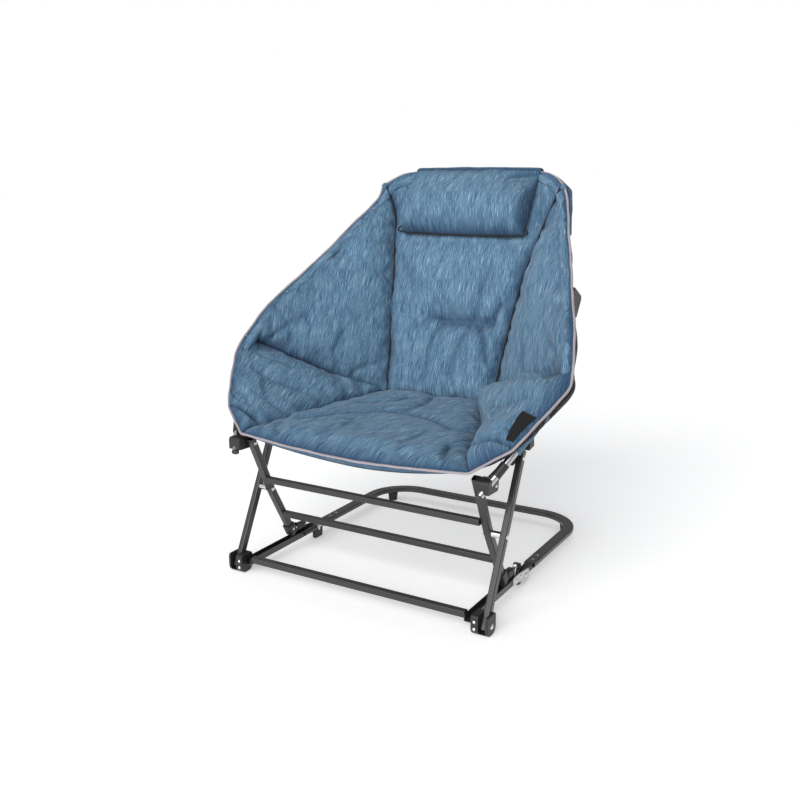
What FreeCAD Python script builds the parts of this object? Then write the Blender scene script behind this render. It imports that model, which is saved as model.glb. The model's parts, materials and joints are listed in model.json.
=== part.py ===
import FreeCAD, Part
import Sketcher
import math
import os
from FreeCAD import Placement, Rotation, Vector

# Camp rocking chair: a flat hoop of tube with a slung padded bucket, carried on crossed
# legs that stand in a front frame. A wide U-shaped loop lies on the floor behind. The
# front frame rocks on the loop's knuckles, and the whole chair folds on the same legs.
# Millimetres. Seen from the front, +X is to the right, -Y is the near side and +Z is up.
# Left and right in the names are as seen from the front.
# Lengths along Y are counted from the front bar's centre line, and "front_line" places
# that line so that the origin is under the middle of the chair.

doc = FreeCAD.newDocument("camp_rocking_chair")
sheet = doc.addObject("Spreadsheet::Sheet", "Sizes")

DIMENSIONS = (
    ("front_line", -327.15, "Y of the front bar's centre line"),
    ("channel_out", 294.0, "X of a side channel's centre"),
    ("inner_out", 293.0, "X of an inner leg's centre"),
    ("outer_out", 330.0, "X of an outer leg's centre"),
    ("rail_out", 313.0, "X of a seat rail's centre"),
    ("bar_side", 16.0, "side of the square front bar"),
    ("bar_height", 35.0, "Z of the front bar's centre"),
    ("tube_wall", 1.5, "wall of every square tube"),
    ("tube_corner", 3.0, "outer corner radius of the square tubes"),
    ("channel_width", 20.0, "width of the open channel"),
    ("channel_depth", 16.0, "depth of the open channel"),
    ("channel_floor", 22.0, "Z of the channel's underside"),
    ("channel_rear", 250.0, "rear end of the channel"),
    ("channel_front", -10.0, "front end of the channel"),
    ("foot_bolt_height", 20.0, "Z of the bolt at the foot of an outer leg"),
    ("pivot_rear", 271.0, "rocking pivot, behind the front bar"),
    ("pivot_height", 24.0, "Z of the rocking pivot"),
    ("loop_rear", 663.0, "rear straight of the floor loop"),
    ("loop_width", 28.0, "width of the loop's flat tube"),
    ("loop_thick", 12.0, "thickness of the loop's flat tube"),
    ("loop_bend", 105.0, "bend radius of the loop's corners"),
    ("outer_width", 14.5, "outer leg, across the chair"),
    ("outer_depth", 18.0, "outer leg, along its side"),
    ("inner_width", 18.0, "inner leg, across the chair"),
    ("inner_depth", 16.0, "inner leg, along its side"),
    ("crossbar_side", 15.0, "side of the two crossbars"),
    ("rail_width", 8.0, "seat rail, across the chair"),
    ("rail_depth", 20.0, "seat rail, its height"),
    ("rail_length", 180.0, "length of a seat rail"),
    ("hoop_radius", 8.0, "outer radius of the hoop's round tube"),
    ("bolt_radius", 4.0, "radius of the pivot bolts"),
    ("small_bolt_radius", 3.0, "radius of the foot and slider bolts"),
    ("running_gap", 0.05, "radial clearance of a bolt in a leg that turns on it"),
    ("plate_thick", 2.2, "thickness of the hinge plates"),
    ("seat_thick", 32.0, "seat cushion"),
    ("back_thick", 30.0, "back cushion"),
    ("pillow_thick", 28.0, "headrest pillow"),
)
for row, (alias, value, note) in enumerate(DIMENSIONS, start=1):
    sheet.set("A%d" % row, alias)
    sheet.set("B%d" % row, repr(value))
    sheet.set("C%d" % row, note)
    sheet.setAlias("B%d" % row, alias)
doc.recompute()

SIZE = {alias: float(sheet.get(alias)) for alias, value, note in DIMENSIONS}
SIDES = (("left", -1), ("right", 1))
ALONG_X = Vector(1, 0, 0)
parts = []


def at(x, y, z):
    """A point whose Y is counted from the front bar's centre line."""
    return Vector(x, y + SIZE["front_line"], z)


# The pivots of the folding linkage, as (Y, Z) in a side view.
FOOT_PIVOT = (0.0, SIZE["foot_bolt_height"])
SLIDER_PIVOT = (160.0, 343.0)
SEAT_PIVOT = (23.0, 320.0)
SHOE_CENTRE = (174.0, 33.0)
CROSS_HEIGHT = 189.5
cross_share = (CROSS_HEIGHT - FOOT_PIVOT[1]) / (SLIDER_PIVOT[1] - FOOT_PIVOT[1])
CROSS_PIVOT = (cross_share * SLIDER_PIVOT[0], CROSS_HEIGHT)
ROCK_PIVOT = (SIZE["pivot_rear"], SIZE["pivot_height"])


def angle_of(start, end):
    """Direction from one side-view point to another, in degrees up from +Y."""
    return math.degrees(math.atan2(end[1] - start[1], end[0] - start[0]))


RAIL_ANGLE = angle_of(SEAT_PIVOT, SLIDER_PIVOT)


# ---------------------------------------------------------------- general helpers

def keep(thing, label):
    """Name a finished sub-part and put it on the list of parts to write."""
    thing.Label = label
    parts.append(thing)
    return thing


def new_body(name):
    return doc.addObject("PartDesign::Body", name)


def origin_plane(body, role):
    for feature in body.Origin.OriginFeatures:
        if feature.Role == role:
            return feature
    raise ValueError("no plane " + role)


def corner_arc(before, corner, after, radius):
    """Tangent arc at a corner of an outline: its start, middle and end points."""
    incoming = (before - corner).normalize()
    outgoing = (after - corner).normalize()
    half = incoming.getAngle(outgoing) / 2.0
    reach = radius / math.tan(half)
    centre_way = (incoming + outgoing).normalize()
    centre = corner + centre_way * (radius / math.sin(half))
    return corner + incoming * reach, centre - centre_way * radius, corner + outgoing * reach


def rounded_edges(points, closed):
    """Lines and tangent arcs through (point, radius) corners."""
    count = len(points)
    starts = []
    for index, (corner, radius) in enumerate(points):
        inner = closed or 0 < index < count - 1
        if inner and radius > 0:
            before = points[index - 1][0]
            after = points[(index + 1) % count][0]
            starts.append(corner_arc(before, corner, after, radius))
        else:
            starts.append((corner, None, corner))
    edges = []
    for index, (begin, middle, end) in enumerate(starts):
        if middle is not None:
            edges.append(Part.Arc(begin, middle, end))
        if closed or index < count - 1:
            following = starts[(index + 1) % count][0]
            if (following - end).Length > 1e-6:
                edges.append(Part.LineSegment(end, following))
    return edges


def sketch_outline(body, role, outline, holes=()):
    """A sketch of one rounded outline (u, v, radius) and round holes (u, v, size name)."""
    sketch = body.newObject("Sketcher::SketchObject", body.Name + "_outline")
    sketch.AttachmentSupport = (origin_plane(body, role), [""])
    sketch.MapMode = "FlatFace"
    corners = [(Vector(u, v, 0), radius) for u, v, radius in outline]
    for edge in rounded_edges(corners, closed=True):
        sketch.addGeometry(edge, False)
    for number, (u, v, cell, extra) in enumerate(holes):
        radius = SIZE[cell] + extra
        index = sketch.addGeometry(Part.Circle(Vector(u, v, 0), Vector(0, 0, 1), radius), False)
        named = sketch.addConstraint(Sketcher.Constraint("Radius", index, radius))
        sketch.renameConstraint(named, "hole_%d" % number)
        sketch.setExpression("Constraints.hole_%d" % number, "Sizes.%s + %g" % (cell, extra))
    return sketch


def pad_outline(name, role, outline, length, holes=(), edge_round=0.0):
    """A body: one outline padded by an expression, with its outer edges rounded."""
    body = new_body(name)
    sketch = sketch_outline(body, role, outline, holes)
    pad = body.newObject("PartDesign::Pad", name + "_pad")
    pad.Profile = sketch
    pad.setExpression("Length", length)
    doc.recompute()
    if edge_round > 0:
        straight_and_outer = []
        for number, edge in enumerate(pad.Shape.Edges, start=1):
            circular = isinstance(edge.Curve, Part.Circle) and edge.isClosed()
            if not circular:
                straight_and_outer.append("Edge%d" % number)
        fillet = body.newObject("PartDesign::Fillet", name + "_edges")
        fillet.Base = (pad, straight_and_outer)
        fillet.Radius = edge_round
    return body


def side_plate(name, outline, inner_x, thick, holes=(), edge_round=0.0):
    """A plate whose outline lies in a side view and whose lower X face is at inner_x."""
    body = pad_outline(name, "YZ_Plane", outline, thick, holes, edge_round)
    body.Placement = Placement(at(inner_x, 0, 0), Rotation())
    return body


def rectangle(width, height, radius=0.0):
    """Corners of a centred rectangle, each with its radius."""
    u = width / 2.0
    v = height / 2.0
    return [(-u, -v, radius), (u, -v, radius), (u, v, radius), (-u, v, radius)]


def rect_tube(name, start, direction, length, width, depth, wall):
    """A straight rectangular tube from start; width lies across the chair where it can."""
    body = new_body(name)
    corner = SIZE["tube_corner"]
    sketch = body.newObject("Sketcher::SketchObject", name + "_section")
    sketch.AttachmentSupport = (origin_plane(body, "XY_Plane"), [""])
    sketch.MapMode = "FlatFace"
    loops = [rectangle(width, depth, corner)]
    if wall > 0:
        loops.append(rectangle(width - 2 * wall, depth - 2 * wall, corner - wall))
    for loop in loops:
        corners = [(Vector(u, v, 0), radius) for u, v, radius in loop]
        for edge in rounded_edges(corners, closed=True):
            sketch.addGeometry(edge, False)
    pad = body.newObject("PartDesign::Pad", name + "_pad")
    pad.Profile = sketch
    pad.setExpression("Length", length)
    across = ALONG_X if abs(direction.x) < 0.9 else Vector(0, 1, 0)
    body.Placement = Placement(start, Rotation(across, Vector(), direction, "ZXY"))
    return body


def drum(name, centre, direction, length, radius, extra=0.0):
    """A cylinder centred on a point, its radius bound to a named size."""
    cylinder = doc.addObject("Part::Cylinder", name)
    cylinder.setExpression("Radius", "Sizes.%s + %g" % (radius, extra))
    cylinder.Height = length
    start = centre - direction * (length / 2.0)
    cylinder.Placement = Placement(start, Rotation(Vector(0, 0, 1), direction))
    return cylinder


def plain_drum(name, start, direction, length, radius):
    """A cylinder from start along direction, with sizes of its own."""
    cylinder = doc.addObject("Part::Cylinder", name)
    cylinder.Radius = radius
    cylinder.Height = length
    cylinder.Placement = Placement(start, Rotation(Vector(0, 0, 1), direction))
    return cylinder


def block(name, low, high):
    """A box between two corners."""
    box = doc.addObject("Part::Box", name)
    box.Length = high.x - low.x
    box.Width = high.y - low.y
    box.Height = high.z - low.z
    box.Placement = Placement(low, Rotation())
    return box


def join(name, shapes):
    """One solid from several that touch."""
    fused = doc.addObject("Part::MultiFuse", name)
    fused.Shapes = shapes
    fused.Refine = True
    return fused


def cut(name, base, tool):
    result = doc.addObject("Part::Cut", name)
    result.Base = base
    result.Tool = tool
    return result


def group(name, members):
    """Identical loose pieces that share one name."""
    compound = doc.addObject("Part::Compound", name)
    compound.Links = members
    return keep(compound, name)


def domed(name, base_centre, direction, radius, height):
    """A rivet or bolt head: the cap of a ball, flat side down."""
    ball = (radius * radius + height * height) / (2.0 * height)
    cap = doc.addObject("Part::Sphere", name)
    cap.Radius = ball
    cap.Angle1 = math.degrees(math.asin((ball - height) / ball))
    start = base_centre - direction * (ball - height)
    cap.Placement = Placement(start, Rotation(Vector(0, 0, 1), direction))
    return cap


def swept(name, points, section):
    """A solid along straight runs joined by tangent arcs; section(plane) makes its wire."""
    edges = [curve.toShape() for curve in rounded_edges(points, closed=False)]
    path = Part.Wire(edges)
    start = points[0][0]
    direction = (points[1][0] - start).normalize()
    feature = doc.addObject("Part::Feature", name)
    solids = [path.makePipeShell([wire], True, False) for wire in section(start, direction)]
    feature.Shape = solids[0] if len(solids) == 1 else solids[0].cut(solids[1])
    return feature


def ring_section(radius, wall):
    """Outer and inner circles of a round tube."""
    def wires(start, direction):
        radii = (radius,) if wall <= 0 else (radius, radius - wall)
        return [Part.Wire(Part.makeCircle(size, start, direction)) for size in radii]
    return wires


def box_section(width, depth, wall, across):
    """Outer and inner rounded rectangles; width lies along the vector given."""
    def wires(start, direction):
        place = Placement(start, Rotation(across, Vector(), direction, "ZXY"))
        loops = [rectangle(width, depth, SIZE["tube_corner"])]
        if wall > 0:
            inner_corner = SIZE["tube_corner"] - wall
            loops.append(rectangle(width - 2 * wall, depth - 2 * wall, inner_corner))
        made = []
        for loop in loops:
            corners = [(Vector(u, v, 0), radius) for u, v, radius in loop]
            wire = Part.Wire([c.toShape() for c in rounded_edges(corners, closed=True)])
            wire.Placement = place
            made.append(wire)
        return made
    return wires


def cushion(name, stations, thick):
    """A padded panel: (outer, inner) points of its face, station by station, and a depth."""
    feature = doc.addObject("Part::Feature", name)
    wires = []
    for outer, inner in stations:
        wires.append(Part.makePolygon([outer, inner, inner + thick, outer + thick, outer]))
    feature.Shape = Part.makeLoft(wires, True, True)
    return feature


def side_point(side, point):
    """A side-view pivot (Y, Z) at some X on one side of the chair."""
    x, (y, z) = point
    return at(side * x, y, z)


def leg_direction(start, end):
    return Vector(0, end[0] - start[0], end[1] - start[1]).normalize()


def lower_x(side, centre, thick):
    """X of the lower face of a piece whose centre is mirrored from side to side."""
    return side * centre - thick / 2.0


def inner_to_outer(side, near, far):
    """Lower X face of a piece that spans near to far from the middle plane."""
    return near if side > 0 else -far


# ---------------------------------------------------------------- front frame

BAR_HALF = SIZE["channel_out"] - SIZE["channel_width"] / 2.0 - 0.2

front_bar = rect_tube("front_bar", at(-BAR_HALF, 0, SIZE["bar_height"]), ALONG_X,
                      "2 * (Sizes.channel_out - Sizes.channel_width / 2 - 0.2)",
                      SIZE["bar_side"], SIZE["bar_side"], SIZE["tube_wall"])
keep(front_bar, "front_bar")


def side_channel(name, side):
    """Open channel in which the inner leg's shoe slides."""
    half = SIZE["channel_width"] / 2.0
    wall = 2.0
    depth = SIZE["channel_depth"]
    outline = [(-half, 0, 2.5), (half, 0, 2.5), (half, depth, 0), (half - wall, depth, 0),
               (half - wall, wall, 0.8), (wall - half, wall, 0.8), (wall - half, depth, 0),
               (-half, depth, 0)]
    body = pad_outline(name, "XZ_Plane", outline, "Sizes.channel_rear - Sizes.channel_front")
    body.Placement = Placement(at(side * SIZE["channel_out"], SIZE["channel_rear"],
                                  SIZE["channel_floor"]), Rotation())
    return body


FOOT_IN = 304.3
FOOT_OUT = 344.3
SLOT_IN = 321.7
SLOT_OUT = 338.3


def front_foot(name, side):
    """Clevis foot with a rounded sole; the outer leg stands in its slot."""
    outline = [(-21, 0, 17), (21, 0, 17), (21, 46, 7), (-21, 46, 7)]
    holes = [FOOT_PIVOT + ("small_bolt_radius", 0.0)]
    solid = side_plate(name + "_solid", outline, inner_to_outer(side, FOOT_IN, FOOT_OUT),
                       "%g" % (FOOT_OUT - FOOT_IN), holes, edge_round=2.0)
    slot_low = at(inner_to_outer(side, SLOT_IN, SLOT_OUT), -40, 5)
    slot = block(name + "_slot", slot_low, slot_low + Vector(SLOT_OUT - SLOT_IN, 80, 60))
    return cut(name, solid, slot)


def hinge_plate(name, side):
    """Sheet-metal plate that carries the rocking pin behind the channel."""
    outline = [(196, 24, 3), (232, 22, 8), (256, 9, 6), (287, 12, 9), (287, 36, 9), (228, 43, 8),
               (196, 42, 4)]
    holes = [ROCK_PIVOT + ("bolt_radius", 0.0)]
    return side_plate(name, outline, inner_to_outer(side, 304.2, 304.2 + SIZE["plate_thick"]),
                      "Sizes.plate_thick", holes)


def spring_barrel(name, side):
    """Barrel of the rocking spring, clamped to the channel's inner wall."""
    tube = plain_drum(name + "_tube", at(side * 276, 196, 37), Vector(0, 1, 0), 50, 6)
    bore = plain_drum(name + "_bore", at(side * 276, 200, 37), Vector(0, 1, 0), 60, 4.3)
    low = at(inner_to_outer(side, 281, 284), 205, 31)
    lug = block(name + "_lug", low, low + Vector(3, 30, 6.5))
    return cut(name, join(name + "_outside", [tube, lug]), bore)


foot_bolts = []
foot_rivets = []
hinge_plates = []
spring_barrels = []
plate_rivets = []
rock_pins = []
for word, side in SIDES:
    outward = Vector(side, 0, 0)
    keep(side_channel("side_channel_" + word, side), "side_channel_" + word)
    keep(front_foot("front_foot_" + word, side), "front_foot_" + word)
    hinge_plates.append(hinge_plate("hinge_plate_" + word, side))
    spring_barrels.append(spring_barrel("spring_barrel_" + word, side))

    middle = (FOOT_IN + FOOT_OUT) / 2.0
    shank = drum("foot_shank_" + word, side_point(side, (middle, FOOT_PIVOT)), outward,
                 FOOT_OUT - FOOT_IN, "small_bolt_radius")
    head = domed("foot_head_" + word, side_point(side, (FOOT_OUT, FOOT_PIVOT)), outward, 6.5, 2.8)
    foot_bolts.append(join("foot_bolt_" + word, [shank, head]))
    for height in (31.0, 15.0):
        foot_rivets.append(domed("foot_rivet_%s_%d" % (word, height),
                                 at(side * 312.5, -21, height), Vector(0, -1, 0), 3.6, 1.7))
    for y in (212.0, 238.0):
        face = at(side * (304.2 + SIZE["plate_thick"]), y, 33)
        plate_rivets.append(domed("plate_rivet_%s_%d" % (word, y), face, outward, 4.2, 2.0))
    pin = drum("rock_shank_" + word, side_point(side, (294.7, ROCK_PIVOT)), outward, 23.4,
               "bolt_radius")
    pin_head = domed("rock_head_" + word,
                     side_point(side, (304.2 + SIZE["plate_thick"], ROCK_PIVOT)), outward, 7.0, 3.0)
    rock_pins.append(join("rock_pin_" + word, [pin, pin_head]))
group("hinge_plates", hinge_plates)
group("spring_barrels", spring_barrels)
group("foot_bolts", foot_bolts)
group("foot_rivets", foot_rivets)
group("plate_rivets", plate_rivets)
group("rock_pins", rock_pins)

# ---------------------------------------------------------------- knuckles and spring rods


def pivot_knuckle(name, side):
    """Plastic knuckle: stands on the floor, turns on the rocking pin, meets the spring."""
    outline = [(255, 0, 4), (287, 0, 4), (289, 22, 6), (284, 41, 9), (260, 41, 9), (253.5, 24, 6)]
    holes = [ROCK_PIVOT + ("bolt_radius", SIZE["running_gap"])]
    cheek = side_plate(name + "_cheek", outline, inner_to_outer(side, 284.4, 293.6), "9.2",
                       holes, edge_round=1.2)
    low = at(inner_to_outer(side, 269, 285.4), 278, 30)
    lug = block(name + "_lug", low, low + Vector(16.4, 9, 13))
    return join(name, [cheek, lug])


def spring_rod(name, side):
    """Bright rod with a round cap, pressed back against the knuckle."""
    start = at(side * 276, 215, 37)
    rod = plain_drum(name + "_rod", start, Vector(0, 1, 0), 57, 4.0)
    cap = plain_drum(name + "_cap", start + Vector(0, 56.5, 0), Vector(0, 1, 0), 6.2, 6.2)
    return join(name, [rod, cap])


for word, side in SIDES:
    keep(pivot_knuckle("pivot_knuckle_" + word, side), "pivot_knuckle_" + word)
group("spring_rods", [spring_rod("spring_rod_" + word, side) for word, side in SIDES])

# ---------------------------------------------------------------- floor loop

LOOP_HEIGHT = 30.0
LOOP_FRONT = 318.0


def floor_loop(name):
    """One flat tube bent to a wide U."""
    out = SIZE["channel_out"]
    bend = SIZE["loop_bend"]
    points = [(at(-out, LOOP_FRONT, LOOP_HEIGHT), 0), (at(-out, SIZE["loop_rear"], LOOP_HEIGHT), bend),
              (at(out, SIZE["loop_rear"], LOOP_HEIGHT), bend), (at(out, LOOP_FRONT, LOOP_HEIGHT), 0)]
    section = box_section(SIZE["loop_width"], SIZE["loop_thick"], SIZE["tube_wall"], ALONG_X)
    return swept(name, points, section)


def loop_end(name, side):
    """Plastic end of the loop: an eye on the rocking pin and a socket for the tube."""
    eye_outline = [(258, 11, 11), (284, 11, 8), (296, 24, 0), (296, 36, 0), (262, 37, 10)]
    holes = [ROCK_PIVOT + ("bolt_radius", SIZE["running_gap"])]
    eye = side_plate(name + "_eye", eye_outline, inner_to_outer(side, 294.4, 303.6), "9.2", holes)
    socket_outline = [(294, 22, 2), (LOOP_FRONT, 22, 1), (LOOP_FRONT, 36.5, 1), (294, 36.5, 2)]
    socket = side_plate(name + "_socket", socket_outline, inner_to_outer(side, 286.0, 303.6),
                        "17.6")
    return join(name, [eye, socket])


def rubber_foot(name, side):
    cone = doc.addObject("Part::Cone", name)
    cone.Radius1 = 12.0
    cone.Radius2 = 14.5
    cone.Height = LOOP_HEIGHT - SIZE["loop_thick"] / 2.0 - 0.1
    cone.Placement = Placement(at(side * 268, 626, 0), Rotation())
    return cone


keep(floor_loop("floor_loop"), "floor_loop")
loop_rivets = []
for word, side in SIDES:
    keep(loop_end("loop_end_" + word, side), "loop_end_" + word)
    for y in (338.0, 366.0):
        top = at(side * SIZE["channel_out"], y, LOOP_HEIGHT + SIZE["loop_thick"] / 2.0)
        loop_rivets.append(domed("loop_rivet_%s_%d" % (word, y), top, Vector(0, 0, 1), 4.2, 1.8))
group("loop_rivets", loop_rivets)
group("rear_feet", [rubber_foot("rear_foot_" + word, side) for word, side in SIDES])

# ---------------------------------------------------------------- outer legs


def outer_leg(name, side):
    """Square tube from the foot bolt to the rail slider, drilled for its three bolts."""
    way = leg_direction(FOOT_PIVOT, SLIDER_PIVOT)
    start = side_point(side, (SIZE["outer_out"], FOOT_PIVOT)) - way * 10.5
    reach = math.dist(FOOT_PIVOT, SLIDER_PIVOT)
    tube = rect_tube(name + "_tube", start, way, "%g" % (reach + 22.5), SIZE["outer_width"],
                     SIZE["outer_depth"], SIZE["tube_wall"])
    drills = []
    for number, (pivot, cell, extra) in enumerate((
            (FOOT_PIVOT, "small_bolt_radius", SIZE["running_gap"]),
            (CROSS_PIVOT, "bolt_radius", SIZE["running_gap"]),
            (SLIDER_PIVOT, "small_bolt_radius", 0.0))):
        centre = side_point(side, (SIZE["outer_out"], pivot))
        drills.append(drum("%s_drill_%d" % (name, number), centre, ALONG_X, 30, cell, extra))
    return cut(name, tube, join(name + "_drills", drills))


def end_plug(name, side):
    """Plastic plug over the top end of an outer leg."""
    way = leg_direction(FOOT_PIVOT, SLIDER_PIVOT)
    start = side_point(side, (SIZE["outer_out"], SLIDER_PIVOT)) + way * 12.0
    plug = rect_tube(name, start, way, "4", SIZE["outer_width"], SIZE["outer_depth"], 0)
    return plug


slider_bolts = []
leg_plugs = []
for word, side in SIDES:
    outward = Vector(side, 0, 0)
    keep(outer_leg("outer_leg_" + word, side), "outer_leg_" + word)
    leg_plugs.append(end_plug("leg_plug_" + word, side))
    face = SIZE["outer_out"] + SIZE["outer_width"] / 2.0
    shank = drum("slider_shank_" + word, side_point(side, ((320.4 + face) / 2.0, SLIDER_PIVOT)),
                 outward, face - 320.4, "small_bolt_radius")
    head = domed("slider_head_" + word, side_point(side, (face, SLIDER_PIVOT)), outward, 6.0, 2.6)
    slider_bolts.append(join("slider_bolt_" + word, [shank, head]))
group("slider_bolts", slider_bolts)
group("leg_plugs", leg_plugs)

# ---------------------------------------------------------------- inner legs

INNER_FACE = SIZE["inner_out"] - SIZE["inner_width"] / 2.0
INNER_BACK = SIZE["inner_out"] + SIZE["inner_width"] / 2.0
lower_way = leg_direction(SHOE_CENTRE, CROSS_PIVOT)


def inner_leg(name, side):
    """Square tube from the sliding shoe past the cross bolt to the seat corner."""
    upper_way = leg_direction(CROSS_PIVOT, SEAT_PIVOT)
    top = side_point(side, (SIZE["inner_out"], SEAT_PIVOT)) + upper_way * 12.0
    bend = side_point(side, (SIZE["inner_out"], CROSS_PIVOT))
    low = side_point(side, (SIZE["inner_out"], SHOE_CENTRE)) + lower_way * 24.0
    section = box_section(SIZE["inner_width"], SIZE["inner_depth"], SIZE["tube_wall"], ALONG_X)
    tube = swept(name + "_tube", [(low, 0), (bend, 600.0), (top, 0)], section)
    drills = []
    for number, pivot in enumerate((CROSS_PIVOT, SEAT_PIVOT)):
        centre = side_point(side, (SIZE["inner_out"], pivot))
        drills.append(drum("%s_drill_%d" % (name, number), centre, ALONG_X, 30, "bolt_radius"))
    return cut(name, tube, join(name + "_drills", drills))


def leg_socket(name, side):
    """Plastic end of an inner leg: a sleeve, a neck and a round shoe in the channel."""
    shoe = side_point(side, (SIZE["inner_out"] + 1.0, SHOE_CENTRE))
    sleeve = rect_tube(name + "_sleeve", shoe + lower_way * 17.0 - Vector(side, 0, 0), lower_way,
                       "30", SIZE["inner_width"] + 6.0, SIZE["inner_depth"] + 6.0, 0)
    room = rect_tube(name + "_room", shoe + lower_way * 24.0 - Vector(side, 0, 0), lower_way,
                     "40", SIZE["inner_width"], SIZE["inner_depth"], 0)
    neck = rect_tube(name + "_neck", shoe, lower_way, "18", 8.0, 9.0, 0)
    wheel = drum(name + "_wheel", shoe, ALONG_X, 13.0, "small_bolt_radius", 3.3)
    return join(name, [cut(name + "_hollow", sleeve, room), neck, wheel])


leg_sockets = []
cross_bolts = []
cross_spacers = []
seat_bolts = []
socket_rivets = []
for word, side in SIDES:
    outward = Vector(side, 0, 0)
    inward = Vector(-side, 0, 0)
    keep(inner_leg("inner_leg_" + word, side), "inner_leg_" + word)
    leg_sockets.append(leg_socket("leg_socket_" + word, side))
    outer_face = SIZE["outer_out"] + SIZE["outer_width"] / 2.0
    shank = drum("cross_shank_" + word,
                 side_point(side, ((INNER_FACE + outer_face) / 2.0, CROSS_PIVOT)), outward,
                 outer_face - INNER_FACE + 0.4, "bolt_radius")
    inner_head = domed("cross_head_" + word, side_point(side, (INNER_FACE, CROSS_PIVOT)), inward,
                       7.0, 3.0)
    outer_head = domed("cross_nut_" + word, side_point(side, (outer_face + 0.2, CROSS_PIVOT)),
                       outward, 7.0, 3.0)
    cross_bolts.append(join("cross_bolt_" + word, [shank, inner_head, outer_head]))

    gap_middle = (INNER_BACK + 322.5) / 2.0
    ring = drum("spacer_ring_" + word, side_point(side, (gap_middle, CROSS_PIVOT)), outward,
                322.5 - INNER_BACK, "bolt_radius", 3.5)
    bore = drum("spacer_bore_" + word, side_point(side, (gap_middle, CROSS_PIVOT)), outward,
                40, "bolt_radius")
    cross_spacers.append(cut("cross_spacer_" + word, ring, bore))

    shank = drum("seat_shank_" + word, side_point(side, ((INNER_FACE + 320.0) / 2.0, SEAT_PIVOT)),
                 outward, 320.0 - INNER_FACE, "bolt_radius")
    head = domed("seat_head_" + word, side_point(side, (INNER_FACE, SEAT_PIVOT)), inward, 6.0, 2.4)
    seat_bolts.append(join("seat_bolt_" + word, [shank, head]))
    along = side_point(side, (SIZE["inner_out"] - SIZE["inner_width"] / 2.0 - 3.0, SHOE_CENTRE))
    socket_rivets.append(domed("socket_rivet_" + word, along + lower_way * 33.0, inward, 4.0, 2.0))
group("leg_sockets", leg_sockets)
group("cross_bolts", cross_bolts)
group("cross_spacers", cross_spacers)
group("seat_bolts", seat_bolts)
group("socket_rivets", socket_rivets)

for name, y, z in (("upper_crossbar", 60.0, 220.0), ("lower_crossbar", 128.5, 111.0)):
    bar = rect_tube(name, at(-INNER_FACE, y, z), ALONG_X,
                    "2 * Sizes.inner_out - Sizes.inner_width", SIZE["crossbar_side"],
                    SIZE["crossbar_side"], SIZE["tube_wall"])
    keep(bar, name)


def latch_lever(name, side):
    """Black tongue behind the leg socket; lifted to free the shoe."""
    outline = [(191, 52, 3), (200, 51.5, 3), (217, 57, 2), (217, 60.5, 1.5), (202, 61.5, 5),
               (192, 61, 4)]
    holes = [(196.5, 56.0, "small_bolt_radius", -1.0)]
    return side_plate(name, outline, lower_x(side, 293.0, 16.0), "16", holes, edge_round=0.8)


latch_lugs = []
for word, side in SIDES:
    keep(latch_lever("latch_lever_" + word, side), "latch_lever_" + word)
    pin = drum("latch_pin_" + word, at(side * 293, 196.5, 56), ALONG_X, 22.0, "small_bolt_radius",
               -1.0 - SIZE["running_gap"])
    ears = []
    for number, x in enumerate((303.0, 283.0)):
        outline = [(178, 50, 4), (201, 50.5, 4), (201, 61, 5), (172, 66, 4)]
        ears.append(side_plate("latch_ear_%s_%d" % (word, number), outline,
                               lower_x(side, x, 2.4), "2.4"))
    latch_lugs.append(join("latch_lug_" + word, ears + [pin]))
group("latch_lugs", latch_lugs)

# ---------------------------------------------------------------- hoop of round tube

TUBE_FOOT = (325.0, 2.0, 321.0)
ARM_BEND = (424.0, 158.0, 503.0)
ARM_UP = (395.0, 246.0, 603.0)
SHOULDER = (356.0, 330.0, 668.0)
BACK_SIDE = (292.0, 466.0, 787.0)
BACK_TOP = (255.0, 548.0, 858.0)
TOP_CORNER = (236.0, 568.0, 896.0)
TOP_RAIL = (166.0, 604.0, 929.0)
HOOP_WALL = 1.2
TOP_JOINT = 62.0


def mirrored(side, point):
    x, y, z = point
    return at(side * x, y, z)


def toward(start, end, distance):
    """The point some way from start to end."""
    return start + (end - start).normalize() * distance


def seat_tube(name, side):
    foot = mirrored(side, TUBE_FOOT)
    arm = mirrored(side, ARM_BEND)
    start = toward(foot, arm, -24.0)
    end = toward(arm, foot, 16.0)
    return swept(name, [(start, 0), (end, 0)], ring_section(SIZE["hoop_radius"], HOOP_WALL))


def arm_elbow(name, side):
    """Plastic elbow that joins a seat tube to a back tube."""
    arm = mirrored(side, ARM_BEND)
    points = [(toward(arm, mirrored(side, TUBE_FOOT), 16.0), 0), (arm, 16.0),
              (toward(arm, mirrored(side, ARM_UP), 16.0), 0)]
    return swept(name, points, ring_section(SIZE["hoop_radius"] + 1.6, 0))


def back_tube(name, side):
    arm = mirrored(side, ARM_BEND)
    up = mirrored(side, ARM_UP)
    side_bend = mirrored(side, BACK_SIDE)
    points = [(toward(arm, up, 16.0), 0), (up, 160.0), (mirrored(side, SHOULDER), 200.0),
              (side_bend, 200.0), (toward(side_bend, mirrored(side, BACK_TOP), TOP_JOINT), 0)]
    return swept(name, points, ring_section(SIZE["hoop_radius"], HOOP_WALL))


def top_tube(name):
    half = []
    for side in (-1, 1):
        joint = toward(mirrored(side, BACK_SIDE), mirrored(side, BACK_TOP), TOP_JOINT)
        half.append([(joint, 0), (mirrored(side, BACK_TOP), 60.0),
                     (mirrored(side, TOP_CORNER), 40.0), (mirrored(side, TOP_RAIL), 60.0)])
    points = half[0] + half[1][::-1]
    return swept(name, points, ring_section(SIZE["hoop_radius"], HOOP_WALL))


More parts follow.
